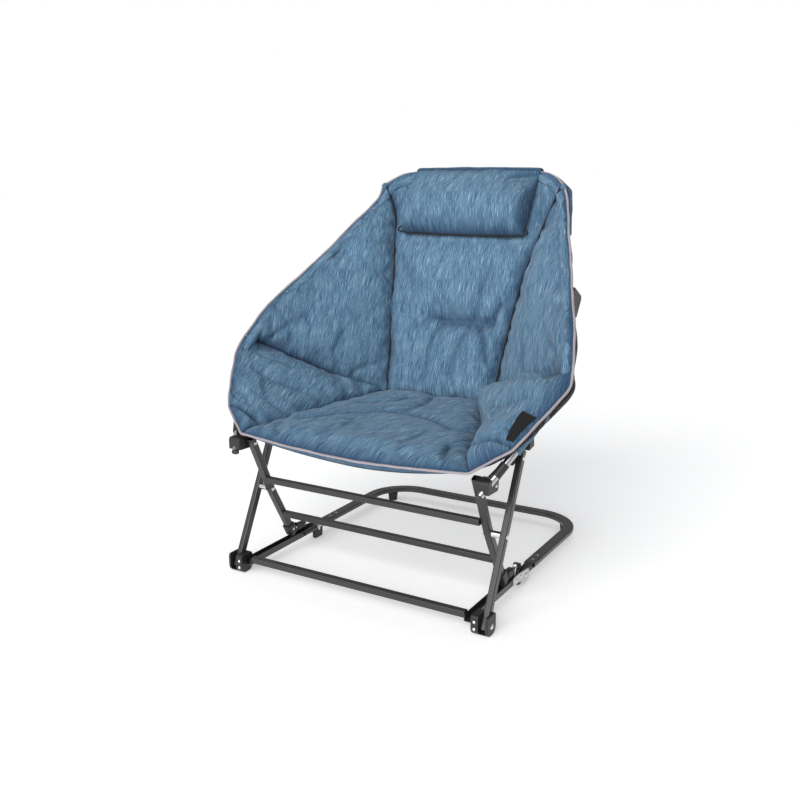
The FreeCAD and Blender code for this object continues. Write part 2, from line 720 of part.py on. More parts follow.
def corner_bracket(name, side):
    """Plastic knuckle at the seat's front corner, bored for the tube and the leg's bolt."""
    outline = [(-13, 307, 5), (36, 305, 6), (40, 331, 6), (12, 337, 6), (-13, 336, 7)]
    solid = side_plate(name + "_solid", outline, inner_to_outer(side, 303.2, 335.0), "31.8",
                       edge_round=1.5)
    foot = mirrored(side, TUBE_FOOT)
    way = (mirrored(side, ARM_BEND) - foot).normalize()
    tube_hole = drum(name + "_tube_hole", foot, way, 90, "hoop_radius")
    bolt_hole = drum(name + "_bolt_hole", side_point(side, (311.0, SEAT_PIVOT)), ALONG_X, 18.2,
                     "bolt_radius", SIZE["running_gap"])
    return cut(name, solid, join(name + "_holes", [tube_hole, bolt_hole]))


def tube_cap(name, side):
    """Round plastic cap in the open foot of a seat tube."""
    foot = mirrored(side, TUBE_FOOT)
    way = (mirrored(side, ARM_BEND) - foot).normalize()
    return plain_drum(name, foot - way * 28.0, way, 4.0, SIZE["hoop_radius"] + 0.6)


def sleeve_clip(name, side):
    """Black sleeve on the seat tube above its bracket."""
    foot = mirrored(side, TUBE_FOOT)
    way = (mirrored(side, ARM_BEND) - foot).normalize()
    ring = plain_drum(name + "_ring", foot + way * 28.0, way, 32.0, SIZE["hoop_radius"] + 2.0)
    bore = plain_drum(name + "_bore", foot + way * 20.0, way, 50.0, SIZE["hoop_radius"] + 0.05)
    return cut(name, ring, bore)


def rail_point(distance):
    """Side-view point on the seat rail, measured from the seat pivot."""
    angle = math.radians(RAIL_ANGLE)
    return (SEAT_PIVOT[0] + distance * math.cos(angle), SEAT_PIVOT[1] + distance * math.sin(angle))


RAIL_START = 20.0
rail_way = leg_direction(SEAT_PIVOT, SLIDER_PIVOT)


def seat_rail(name, side):
    start = side_point(side, (SIZE["rail_out"], rail_point(RAIL_START)))
    return rect_tube(name, start, rail_way, "Sizes.rail_length", SIZE["rail_width"],
                     SIZE["rail_depth"], SIZE["tube_wall"])


RAIL_END = rail_point(RAIL_START + SIZE["rail_length"])
STRUT_FOOT = (316.0, RAIL_END[0] + 10.0, RAIL_END[1] + 6.0)
STRUT_BEND = (320.0, 300.0, 410.0)
STRUT_TOP = (355.0, 362.0, 634.0)


def strut_joint(name, side):
    """Plastic block that joins the seat rail to the back strut."""
    strut_way = (mirrored(side, STRUT_BEND) - mirrored(side, STRUT_FOOT)).normalize()
    low = rail_point(RAIL_START + SIZE["rail_length"] + 0.1)
    start = side_point(side, (SIZE["rail_out"] + 2.0, low))
    solid = rect_tube(name + "_solid", start, rail_way, "24", 21.0, SIZE["rail_depth"] + 4.0, 0)
    hole = plain_drum(name + "_hole", mirrored(side, STRUT_FOOT), strut_way, 60, 7.0)
    return cut(name, solid, hole)


def back_strut(name, side):
    """Round strut from the rail up behind the bucket to the hoop."""
    points = [(mirrored(side, STRUT_FOOT), 0), (mirrored(side, STRUT_BEND), 60.0),
              (mirrored(side, STRUT_TOP), 0)]
    return swept(name, points, ring_section(7.0, HOOP_WALL))


BRACKET_INNER = 345.0
BRACKET_OUTER = 366.0


def hoop_bracket(name, side):
    """Black bracket that bolts the strut's top to the hoop."""
    outline = [(334, 652, 6), (362, 620, 5), (372, 622, 4), (398, 660, 4), (396, 668, 4),
               (352, 692, 7), (334, 682, 6)]
    solid = side_plate(name + "_solid", outline, inner_to_outer(side, BRACKET_INNER, BRACKET_OUTER),
                       "%g" % (BRACKET_OUTER - BRACKET_INNER), edge_round=2.0)
    hoop_way = (mirrored(side, BACK_SIDE) - mirrored(side, ARM_UP)).normalize()
    tube = drum(name + "_tube", mirrored(side, SHOULDER), hoop_way, 160, "hoop_radius", 0.8)
    strut_way = (mirrored(side, STRUT_TOP) - mirrored(side, STRUT_BEND)).normalize()
    socket_start = mirrored(side, STRUT_TOP) - strut_way * 40.0
    socket = plain_drum(name + "_socket", socket_start, strut_way, 40.0, 7.0)
    return cut(name, cut(name + "_bored", solid, tube), socket)


keep(top_tube("top_tube"), "top_tube")
arm_elbows = []
tube_sleeves = []
strut_joints = []
hoop_brackets = []
tube_caps = []
bracket_rivets = []
for word, side in SIDES:
    keep(seat_tube("seat_tube_" + word, side), "seat_tube_" + word)
    arm_elbows.append(arm_elbow("arm_elbow_" + word, side))
    keep(back_tube("back_tube_" + word, side), "back_tube_" + word)
    keep(corner_bracket("corner_bracket_" + word, side), "corner_bracket_" + word)
    tube_sleeves.append(sleeve_clip("tube_sleeve_" + word, side))
    keep(seat_rail("seat_rail_" + word, side), "seat_rail_" + word)
    strut_joints.append(strut_joint("strut_joint_" + word, side))
    keep(back_strut("back_strut_" + word, side), "back_strut_" + word)
    hoop_brackets.append(hoop_bracket("hoop_bracket_" + word, side))
    tube_caps.append(tube_cap("tube_cap_" + word, side))
    bracket_rivets.append(domed("bracket_rivet_" + word, at(side * 335.0, 26, 319),
                                Vector(side, 0, 0), 4.4, 2.0))
group("arm_elbows", arm_elbows)
group("tube_sleeves", tube_sleeves)
group("strut_joints", strut_joints)
group("hoop_brackets", hoop_brackets)
group("tube_caps", tube_caps)
group("bracket_rivets", bracket_rivets)


def rail_slider(name, side):
    """Plastic shoe that the outer leg pushes along the seat rail as the chair folds."""
    rest = math.dist(SEAT_PIVOT, SLIDER_PIVOT)
    start = side_point(side, (SIZE["rail_out"], rail_point(rest - 17.0)))
    solid = rect_tube(name + "_solid", start, rail_way, "34", 14.0, SIZE["rail_depth"] + 8.0, 0)
    room = rect_tube(name + "_room", start - rail_way * 5.0, rail_way, "60",
                     SIZE["rail_width"] + 0.8, SIZE["rail_depth"] + 0.8, 0)
    return cut(name, solid, room)


group("rail_sliders", [rail_slider("rail_slider_" + word, side) for word, side in SIDES])

# ---------------------------------------------------------------- padded bucket

BACK_FOOT = (401.0, 370.0)
BACK_HEAD = (593.5, 938.6)
BACK_ANGLE = angle_of(BACK_FOOT, BACK_HEAD)
SEAT_FRONT = (-12.0, 350.0)
SEAT_REAR = (396.0, 370.0)


def seat_cushion(name):
    length = math.dist(SEAT_FRONT, SEAT_REAR)
    outline = [(-278, 0, 12), (278, 0, 12), (147, length, 6), (-147, length, 6)]
    body = pad_outline(name, "XY_Plane", outline, "Sizes.seat_thick", edge_round=5.0)
    tilt = angle_of(SEAT_FRONT, SEAT_REAR)
    turn = Rotation(ALONG_X, tilt)
    drop = turn.multVec(Vector(0, 0, -SIZE["seat_thick"]))
    body.Placement = Placement(at(0, *SEAT_FRONT) + drop, turn)
    return body


def back_frame_turn():
    """Turns a sketch's +Y up along the back and its +Z to the front of the back."""
    return Rotation(ALONG_X, BACK_ANGLE)


def back_cushion(name):
    outline = [(-150, 2, 8), (150, 2, 8), (207, 484, 30), (168, 570, 14), (-168, 570, 14),
               (-207, 484, 30)]
    body = pad_outline(name, "XY_Plane", outline, "Sizes.back_thick", edge_round=5.0)
    turn = back_frame_turn()
    depth = turn.multVec(Vector(0, 0, -SIZE["back_thick"]))
    body.Placement = Placement(at(0, *BACK_FOOT) + depth, turn)
    return body


PILLOW_LOW = 436.0
PILLOW_TOP = 580.0


def headrest_pillow(name):
    outline = [(-171, PILLOW_LOW, 18), (171, PILLOW_LOW, 18), (168, PILLOW_TOP, 14),
               (-168, PILLOW_TOP, 14)]
    body = pad_outline(name, "XY_Plane", outline, "Sizes.pillow_thick", edge_round=8.0)
    turn = back_frame_turn()
    lift = turn.multVec(Vector(0, 0, 1.0))
    body.Placement = Placement(at(0, *BACK_FOOT) + lift, turn)
    return body


def wing_cushion(name, side):
    """Side of the bucket, slung from the back tube to the back cushion's seam."""
    seam = ((211, 552, 826), (199, 521, 752), (184, 484, 672), (168, 443, 540), (155, 404, 398))
    hoop = ((253, 551, 860), (292, 466, 787), (345, 353, 688), (376, 287, 634), (404, 219, 572))
    stations = []
    for inner, outer in zip(seam, hoop):
        near = mirrored(side, inner)
        far = toward(mirrored(side, outer), near, SIZE["hoop_radius"] + 4.0)
        stations.append((far, near))
    solid = cushion(name + "_solid", stations, Vector(side * 12, 17, -9))
    room = inner_to_outer(side, BRACKET_INNER - 1.0, BRACKET_OUTER + 1.0)
    corner = at(room, 333, 618)
    notch = block(name + "_notch", corner, corner + Vector(BRACKET_OUTER - BRACKET_INNER + 2, 67, 76))
    return cut(name, solid, notch)


def arm_cushion(name, side):
    """Arm and side of the seat, slung from the seat tube to the seat cushion's seam."""
    outer = ((327, 8, 372), (370, 96, 442), (399, 150, 482), (388, 222, 500), (290, 300, 440),
             (178, 376, 378))
    inner = ((284, -10, 352), (261, 65, 356), (243, 122, 358), (216, 208, 362), (186, 300, 366),
             (160, 380, 370))
    stations = [(mirrored(side, o), mirrored(side, i)) for o, i in zip(outer, inner)]
    return cushion(name, stations, Vector(side * 2, 4, -20))


keep(seat_cushion("seat_cushion"), "seat_cushion")
keep(back_cushion("back_cushion"), "back_cushion")
keep(headrest_pillow("headrest_pillow"), "headrest_pillow")
for word, side in SIDES:
    keep(wing_cushion("wing_cushion_" + word, side), "wing_cushion_" + word)
    keep(arm_cushion("arm_cushion_" + word, side), "arm_cushion_" + word)

# ---------------------------------------------------------------- check and write

doc.recompute()
faults = [thing.Name for thing in doc.Objects
          if "Invalid" in thing.State or "Error" in thing.State]
for thing in parts:
    shape = thing.Shape
    if shape.isNull() or not shape.isValid() or shape.Volume <= 0:
        faults.append(thing.Label + " shape")
if faults:
    raise SystemExit("failed: " + ", ".join(faults))

os.makedirs("parts", exist_ok=True)
for old in os.listdir("parts"):
    if old.endswith(".step"):
        os.remove(os.path.join("parts", old))
total = FreeCAD.BoundBox()
for thing in parts:
    thing.Shape.exportStep(os.path.join("parts", thing.Label + ".step"))
    total.add(thing.Shape.BoundBox)
print("%d sub-parts, box %s" % (len(parts), total))
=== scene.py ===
import json
import math

import bmesh
import bpy
import numpy as np
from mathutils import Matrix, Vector, noise
from mathutils.bvhtree import BVHTree


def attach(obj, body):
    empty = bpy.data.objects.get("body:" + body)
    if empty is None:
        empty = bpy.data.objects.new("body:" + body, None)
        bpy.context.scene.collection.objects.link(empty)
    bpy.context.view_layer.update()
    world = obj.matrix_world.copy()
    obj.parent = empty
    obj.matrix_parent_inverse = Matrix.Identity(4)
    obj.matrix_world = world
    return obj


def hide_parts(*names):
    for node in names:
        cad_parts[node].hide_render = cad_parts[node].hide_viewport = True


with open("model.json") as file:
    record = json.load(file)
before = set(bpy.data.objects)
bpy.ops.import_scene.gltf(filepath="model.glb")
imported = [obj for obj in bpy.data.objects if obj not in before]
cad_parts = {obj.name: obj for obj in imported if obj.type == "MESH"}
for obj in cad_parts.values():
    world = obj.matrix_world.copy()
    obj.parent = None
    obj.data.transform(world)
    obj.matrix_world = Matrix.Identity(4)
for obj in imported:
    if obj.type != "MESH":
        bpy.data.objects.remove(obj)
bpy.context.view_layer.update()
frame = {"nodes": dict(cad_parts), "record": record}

# Camp rocking chair. The steel, plastic and rubber come from the frame as they are. The
# padded bucket, its piping, sleeves and headrest are sewn here around the hoop of tube.
# Points are in millimetres: X across, Y back from the front bar's line, Z up.

FRONT_LINE = -327.15


def at(x, y, z):
    """A point in metres in the row frame."""
    return np.array([x, y + FRONT_LINE, z], float) / 1000.0


def points(*rows, side=1):
    """Rows of points in metres; side -1 puts them on the chair's left."""
    return np.array([at(side * x, y, z) for x, y, z in rows])


MIRROR = np.array([-1, 1, 1])

# ------------------------------------------------------------------ curves and surfaces

def smooth_line(stations, count=200):
    """A smooth line through the stations, evenly spaced along its length."""
    p = np.asarray(stations, float)
    if len(p) == 2:
        return p[0] + (p[1] - p[0]) * np.linspace(0, 1, count)[:, None]
    ends = np.vstack([2 * p[0] - p[1], p, 2 * p[-1] - p[-2]])
    rows = []
    for k in range(len(p) - 1):
        a, b, c, d = ends[k:k + 4]
        t = np.linspace(0, 1, 40, endpoint=False)[:, None]
        rows.append(0.5 * (2 * b + (c - a) * t + (2 * a - 5 * b + 4 * c - d) * t ** 2
                           + (3 * b - a - 3 * c + d) * t ** 3))
    return even(np.vstack(rows + [p[-1:]]), count)


def even(line, count):
    """The same line with its points evenly spaced."""
    steps = np.linalg.norm(np.diff(line, axis=0), axis=1)
    reach = np.concatenate([[0], np.cumsum(steps)])
    where = np.linspace(0, reach[-1], count)
    return np.stack([np.interp(where, reach, line[:, k]) for k in range(3)], -1)


def rounded_path(corners, step=0.006):
    """Straight runs joined by arcs, as the tube itself is bent: (point, radius) rows."""
    out = [np.asarray(corners[0][0], float)]
    for k in range(1, len(corners) - 1):
        here, radius = np.asarray(corners[k][0], float), corners[k][1]
        back = np.asarray(corners[k - 1][0]) - here
        onward = np.asarray(corners[k + 1][0]) - here
        back, onward = back / np.linalg.norm(back), onward / np.linalg.norm(onward)
        half = math.acos(np.clip(back @ onward, -1, 1)) / 2
        reach = radius / math.tan(half)
        bisector = (back + onward) / np.linalg.norm(back + onward)
        centre = here + bisector * radius / math.sin(half)
        first, last = here + back * reach - centre, here + onward * reach - centre
        turn = math.pi - 2 * half
        for s in np.linspace(0, 1, 10):
            mix = (math.sin((1 - s) * turn) * first + math.sin(s * turn) * last)
            out.append(centre + mix / math.sin(turn))
    out.append(np.asarray(corners[-1][0], float))
    line = np.array(out)
    length = np.linalg.norm(np.diff(line, axis=0), axis=1).sum()
    return even(line, max(8, int(length / step)))


def look_up(line, t):
    """Points at fractions t of the way along a line."""
    where = np.linspace(0, 1, len(line))
    return np.stack([np.interp(t, where, line[:, k]) for k in range(3)], -1)


class Surface:
    """A four-sided surface stretched between its edges: low and high run along u."""

    def __init__(self, low, high, inner, outer, towards):
        self.low, self.high, self.inner, self.outer = low, high, inner, outer
        self.sign = 1.0
        half = np.array([0.5])
        facing = np.asarray(towards) - self.place(half, half)[0]
        if self.normal(half, half)[0] @ facing < 0:
            self.sign = -1.0

    def place(self, u, v):
        a, b = look_up(self.low, u), look_up(self.high, u)
        c, d = look_up(self.inner, v), look_up(self.outer, v)
        u, v = u[:, None], v[:, None]
        corners = ((1 - u) * (1 - v) * self.low[0] + u * (1 - v) * self.low[-1]
                   + (1 - u) * v * self.high[0] + u * v * self.high[-1])
        return (1 - v) * a + v * b + (1 - u) * c + u * d - corners

    def normal(self, u, v, step=0.03):
        """Unit normals on the sitter's side, from points a step apart."""
        u0, u1 = np.clip(u - step, 0, 1), np.clip(u + step, 0, 1)
        v0, v1 = np.clip(v - step, 0, 1), np.clip(v + step, 0, 1)
        along_u = self.place(u1, v) - self.place(u0, v)
        along_v = self.place(u, v1) - self.place(u, v0)
        n = np.cross(along_u, along_v)
        return self.sign * n / np.linalg.norm(n, axis=1)[:, None]

    def edge_distances(self, u, v):
        """Distance in metres to the inner, outer, low and high edges."""
        p = self.place(u, v)
        return [np.linalg.norm(p - q, axis=1) for q in
                (look_up(self.inner, v), look_up(self.outer, v),
                 look_up(self.low, u), look_up(self.high, u))]


def link(name, bm, materials, smooth=True):
    mesh = bpy.data.meshes.new(name)
    bm.to_mesh(mesh)
    bm.free()
    for material in materials:
        mesh.materials.append(material)
    if smooth:
        mesh.shade_smooth()
    obj = bpy.data.objects.new(name, mesh)
    bpy.context.scene.collection.objects.link(obj)
    return obj


def coords(mesh):
    co = np.zeros(len(mesh.vertices) * 3)
    mesh.vertices.foreach_get("co", co)
    return co.reshape(-1, 3)


def lay_weave(bm, uv_of):
    """Writes the weave's own map in metres, so that its scale is real on every piece."""
    layer = bm.loops.layers.uv.new("weave")
    for face in bm.faces:
        for loop in face.loops:
            loop[layer].uv = uv_of(loop.vert)


def subdivide(obj, levels=1):
    mod = obj.modifiers.new("smooth", "SUBSURF")
    mod.levels = mod.render_levels = levels
    return obj


def tube(name, line, radius, material, sides=12, closed=False, wobble=0.0, seed=0, cap=True):
    """A round cord or sleeve: a ring drawn along the line by extrusion."""
    line = np.asarray(line, float)
    n = len(line)
    if closed:
        tangents = np.roll(line, -1, 0) - np.roll(line, 1, 0)
    else:
        tangents = np.gradient(line, axis=0)
    tangents /= np.linalg.norm(tangents, axis=1)[:, None]
    side = np.cross(tangents[0], [0.0, 0.0, 1.0])
    if np.linalg.norm(side) < 0.1:
        side = np.cross(tangents[0], [0.0, 1.0, 0.0])
    bm = bmesh.new()
    along = bm.verts.layers.float.new("along")
    around = bm.verts.layers.float.new("around")
    first = bmesh.ops.create_circle(bm, segments=sides, radius=1.0)["verts"]
    ring = {v: math.atan2(v.co.y, v.co.x) for v in first}
    reach = np.concatenate([[0], np.cumsum(np.linalg.norm(np.diff(line, axis=0), axis=1))])

    def shape(ring, k, side):
        t = tangents[k]
        side = side - t * (side @ t)
        side /= np.linalg.norm(side)
        other = np.cross(t, side)
        for v, a in ring.items():
            r = radius
            if wobble:
                spot = Vector(line[k]) * 55 + Vector((math.cos(a), math.sin(a), seed * 7.1))
                r += wobble * noise.noise(spot)
            v.co = Vector(line[k] + (side * math.cos(a) + other * math.sin(a)) * r)
            v[along], v[around] = reach[k], (a / math.tau + 0.5) * math.tau * radius
        return side

    side = shape(ring, 0, side)
    edges = first_edges = list(bm.edges)
    for k in range(1, n):
        made = bmesh.ops.extrude_edge_only(bm, edges=edges)["geom"]
        verts = [g for g in made if isinstance(g, bmesh.types.BMVert)]
        edges = [g for g in made if isinstance(g, bmesh.types.BMEdge)
                 and all(v in set(verts) for v in g.verts)]
        matched = {}
        for v in verts:
            partner = next(e.other_vert(v) for e in v.link_edges if e.other_vert(v) in ring)
            matched[v] = ring[partner]
        ring = matched
        side = shape(ring, k, side)
    if closed:
        bmesh.ops.bridge_loops(bm, edges=first_edges + edges)
    elif cap:
        bmesh.ops.holes_fill(bm, edges=first_edges + edges, sides=sides)
    bmesh.ops.recalc_face_normals(bm, faces=bm.faces)
    lay_weave(bm, lambda v: (v[around], v[along]))
    return link(name, bm, [material])


# ------------------------------------------------------------------ shader groups

def group(name, inputs, outputs):
    tree = bpy.data.node_groups.new(name, "ShaderNodeTree")
    for label, kind, value in inputs:
        socket = tree.interface.new_socket(label, in_out="INPUT", socket_type=kind)
        if value is not None:
            socket.default_value = value
    for label, kind in outputs:
        tree.interface.new_socket(label, in_out="OUTPUT", socket_type=kind)
    return tree, tree.nodes.new("NodeGroupInput"), tree.nodes.new("NodeGroupOutput")


FLOAT, VECTOR = "NodeSocketFloat", "NodeSocketVector"
LONG_SHARE, SHORT_SHARE, BROAD_SHARE = 0.62, 0.24, 0.14


def put(tree, kind, settings=None, **inputs):
    """Adds a node; inputs are values or sockets, by name with _ for a space or by number."""
    node = tree.nodes.new(kind)
    for key, value in (settings or {}).items():
        setattr(node, key, value)
    for key, value in inputs.items():
        socket = node.inputs[int(key[1:])] if key[0] == "n" and key[1:].isdigit() \
            else node.inputs[key.replace("_", " ")]
        if isinstance(value, bpy.types.NodeSocket):
            tree.links.new(value, socket)
        else:
            socket.default_value = value
    return node


def maths(tree, operation, a, b=0.0, clamp=False):
    return put(tree, "ShaderNodeMath", {"operation": operation, "use_clamp": clamp},
               n0=a, n1=b).outputs[0]


def stretched(tree, vector, scale):
    return put(tree, "ShaderNodeVectorMath", {"operation": "MULTIPLY"},
               n0=vector, n1=scale).outputs[0]


def fractal(tree, vector, scale, detail=2.0, rough=0.5):
    return put(tree, "ShaderNodeTexNoise", None, Vector=vector, Scale=scale, Detail=detail,
               Roughness=rough).outputs["Fac"]


def heather_group():
    """Slubby yarn of mixed blues: long thin streaks over a plain weave."""
    tree, given, made = group("HeatherWeave", [("Vector", VECTOR, None),
                                               ("Contrast", FLOAT, 2.4),
                                               ("Thread Pitch", FLOAT, 1100.0)],
                              [("Tone", FLOAT), ("Tint", FLOAT), ("Height", FLOAT)])
    vector = given.outputs["Vector"]
    long_streak = fractal(tree, stretched(tree, vector, (900.0, 30.0, 1.0)), 1.0, 3.0, 0.6)
    short_streak = fractal(tree, stretched(tree, vector, (1900.0, 95.0, 1.0)), 1.0, 1.0)
    broad = fractal(tree, stretched(tree, vector, (60.0, 14.0, 1.0)), 1.0, 2.0)
    tone = maths(tree, "ADD", maths(tree, "MULTIPLY", long_streak, LONG_SHARE),
                 maths(tree, "ADD", maths(tree, "MULTIPLY", short_streak, SHORT_SHARE),
                       maths(tree, "MULTIPLY", broad, BROAD_SHARE)))
    tone = maths(tree, "MULTIPLY", maths(tree, "SUBTRACT", tone, 0.5),
                 given.outputs["Contrast"])
    tree.links.new(maths(tree, "ADD", tone, 0.5, True), made.inputs["Tone"])
    tint = fractal(tree, stretched(tree, vector, (210.0, 24.0, 1.0)), 1.0, 2.0)
    tree.links.new(maths(tree, "MULTIPLY", maths(tree, "SUBTRACT", tint, 0.52), 5.0, True),
                   made.inputs["Tint"])
    split = put(tree, "ShaderNodeSeparateXYZ", None, n0=vector)
    warp = maths(tree, "SINE", maths(tree, "MULTIPLY", split.outputs[0],
                                     given.outputs["Thread Pitch"]))
    weft = maths(tree, "SINE", maths(tree, "MULTIPLY", split.outputs[1],
                                     given.outputs["Thread Pitch"]))
    weave = maths(tree, "MULTIPLY", maths(tree, "MULTIPLY", warp, weft), 0.25)
    tree.links.new(maths(tree, "ADD", weave, long_streak), made.inputs["Height"])
    return tree


def wear_group():
    """Where coating thins: along edges, broken up by a fine noise."""
    tree, given, made = group("EdgeWear", [("Vector", VECTOR, None), ("Radius", FLOAT, 0.0012),
                                           ("Amount", FLOAT, 0.5)], [("Mask", FLOAT)])
    bevel = put(tree, "ShaderNodeBevel", {"samples": 4}, Radius=given.outputs["Radius"])
    flat = put(tree, "ShaderNodeNewGeometry")
    dot = put(tree, "ShaderNodeVectorMath", {"operation": "DOT_PRODUCT"},
              n0=bevel.outputs[0], n1=flat.outputs["Normal"]).outputs["Value"]
    edge = maths(tree, "MULTIPLY", maths(tree, "SUBTRACT", 1.0, dot), 6.0, True)
    speckle = fractal(tree, given.outputs["Vector"], 240.0, 3.0, 0.65)
    speckle = maths(tree, "MULTIPLY", maths(tree, "SUBTRACT", speckle, 0.42), 3.2, True)
    mask = maths(tree, "MULTIPLY", maths(tree, "MULTIPLY", edge, speckle),
                 given.outputs["Amount"], True)
    tree.links.new(mask, made.inputs["Mask"])
    return tree


def grain_group():
    """Fine pebble of a sprayed or moulded surface, with slow smudges over it."""
    tree, given, made = group("SurfaceGrain", [("Vector", VECTOR, None), ("Size", FLOAT, 900.0)],
                              [("Height", FLOAT), ("Smudge", FLOAT)])
    pebble = fractal(tree, given.outputs["Vector"], given.outputs["Size"], 2.0)
    tree.links.new(pebble, made.inputs["Height"])
    smudge = fractal(tree, given.outputs["Vector"], 28.0, 4.0, 0.6)
    tree.links.new(smudge, made.inputs["Smudge"])
    return tree


def dust_group():
    """Thin pale dust that settles on faces that look up."""
    tree, given, made = group("Dust", [("Vector", VECTOR, None), ("Amount", FLOAT, 0.2)],
                              [("Mask", FLOAT)])
    facing = put(tree, "ShaderNodeNewGeometry")
    up = put(tree, "ShaderNodeSeparateXYZ", None, n0=facing.outputs["Normal"]).outputs[2]
    cloud = fractal(tree, given.outputs["Vector"], 34.0, 5.0, 0.7)
    cloud = maths(tree, "MULTIPLY", maths(tree, "SUBTRACT", cloud, 0.4), 2.0, True)
    lit = maths(tree, "MULTIPLY", maths(tree, "MAXIMUM", up, 0.0), cloud)
    tree.links.new(maths(tree, "MULTIPLY", lit, given.outputs["Amount"], True),
                   made.inputs["Mask"])
    return tree


HEATHER, WEAR, GRAIN, DUST = heather_group(), wear_group(), grain_group(), dust_group()


def use(tree, shared, **inputs):
    """Places a shared group in a material with that material's own values."""
    return put(tree, "ShaderNodeGroup", {"node_tree": shared}, **inputs)


def start_material(name, **constants):
    material = bpy.data.materials.new(name)
    material.use_nodes = True
    tree = material.node_tree
    shader = tree.nodes["Principled BSDF"]
    for key, value in constants.items():
        shader.inputs[key.replace("_", " ")].default_value = value
    return material, tree, shader


def ramp(tree, factor, stops):
    node = put(tree, "ShaderNodeValToRGB", None, Fac=factor)
    while len(node.color_ramp.elements) < len(stops):
        node.color_ramp.elements.new(0.5)
    for element, (where, colour) in zip(node.color_ramp.elements, stops):
        element.position = where
        element.color = (*colour, 1)
    return node.outputs[0]


def mixed(tree, factor, a, b):
    node = put(tree, "ShaderNodeMix", {"data_type": "RGBA"})
    for number, value in ((0, factor), (6, a), (7, b)):
        if isinstance(value, bpy.types.NodeSocket):
            tree.links.new(value, node.inputs[number])
        else:
            node.inputs[number].default_value = value if number == 0 else (*value, 1)
    return node.outputs[2]


def bump(tree, shader, height, strength, distance):
    node = put(tree, "ShaderNodeBump", None, Strength=strength, Distance=distance, Height=height)
    tree.links.new(node.outputs[0], shader.inputs["Normal"])


def cloth_material(name, stops, tint, strength, contrast=3.3):
    """Woven cloth, darkened by painted shade towards its seams and creases."""
    material, tree, shader = start_material(name, Roughness=0.88, Sheen_Weight=0.12,
                                            Sheen_Roughness=0.45)
    shader.inputs["Specular IOR Level"].default_value = 0.22
    weave = put(tree, "ShaderNodeUVMap", {"uv_map": "weave"}).outputs[0]
    yarn = use(tree, HEATHER, Vector=weave, Contrast=contrast)
    colour = ramp(tree, yarn.outputs["Tone"], stops)
    tinted = maths(tree, "MULTIPLY", yarn.outputs["Tint"], 0.40)
    dyed = mixed(tree, tinted, colour, tint)
    # Painted shade: the pad's seam and crease attribute mixes the colour towards the ramp's darkest
    # stop.
    painted_shade = put(tree, "ShaderNodeAttribute", {"attribute_name": "painted_shade"}).outputs["Fac"]
    painted_shade_weight = maths(tree, "MULTIPLY", painted_shade, 0.80, True)
    tree.links.new(mixed(tree, painted_shade_weight, dyed, stops[0][1]), shader.inputs["Base Color"])
    bump(tree, shader, yarn.outputs["Height"], strength, 0.0009)
    return material


COAT_DUST, PLASTIC_DUST = (0.32, 0.30, 0.28), (0.30, 0.29, 0.27)


def coated_material(name, colour, worn, roughness, amount=0.5, dust=0.08):
    material, tree, shader = start_material(name, Coat_Weight=0.25, Coat_Roughness=0.25)
    spot = put(tree, "ShaderNodeTexCoord").outputs["Object"]
    grain = use(tree, GRAIN, Vector=spot, Size=1100.0)
    wear = use(tree, WEAR, Vector=spot, Amount=amount)
    settle = use(tree, DUST, Vector=spot, Amount=dust)
    painted = mixed(tree, wear.outputs["Mask"], colour, worn)
    tree.links.new(mixed(tree, settle.outputs["Mask"], painted, COAT_DUST),
                   shader.inputs["Base Color"])
    rough = maths(tree, "ADD", maths(tree, "MULTIPLY", grain.outputs["Smudge"], 0.16),
                  roughness - 0.08)
    tree.links.new(rough, shader.inputs["Roughness"])
    bump(tree, shader, grain.outputs["Height"], 0.16, 0.0004)
    return material


def metal_material(name, colour, roughness, line_size):
    material, tree, shader = start_material(name, Metallic=1.0)
    spot = put(tree, "ShaderNodeTexCoord").outputs["Object"]
    lines = fractal(tree, stretched(tree, spot, (line_size, line_size * 0.05, line_size)), 1.0,
                    3.0)
    grain = use(tree, GRAIN, Vector=spot, Size=600.0)
    dull = tuple(0.72 * c for c in colour)
    tree.links.new(mixed(tree, grain.outputs["Smudge"], colour, dull),
                   shader.inputs["Base Color"])
    rough = maths(tree, "ADD", maths(tree, "MULTIPLY", lines, 0.18), roughness - 0.07)
    tree.links.new(rough, shader.inputs["Roughness"])
    bump(tree, shader, lines, 0.08, 0.0003)
    return material


def moulded_material(name, colour, roughness, size, amount):
    material, tree, shader = start_material(name)
    spot = put(tree, "ShaderNodeTexCoord").outputs["Object"]
    grain = use(tree, GRAIN, Vector=spot, Size=size)
    wear = use(tree, WEAR, Vector=spot, Amount=amount, Radius=0.0008)
    settle = use(tree, DUST, Vector=spot, Amount=0.10)
    rubbed = tuple(0.07 + c for c in colour)
    painted = mixed(tree, wear.outputs["Mask"], colour, rubbed)
    tree.links.new(mixed(tree, settle.outputs["Mask"], painted, PLASTIC_DUST),
                   shader.inputs["Base Color"])
    rough = maths(tree, "ADD", maths(tree, "MULTIPLY", grain.outputs["Smudge"], 0.22),
                  roughness - 0.1)
    tree.links.new(rough, shader.inputs["Roughness"])
    bump(tree, shader, grain.outputs["Height"], 0.3, 0.0004)
    return material


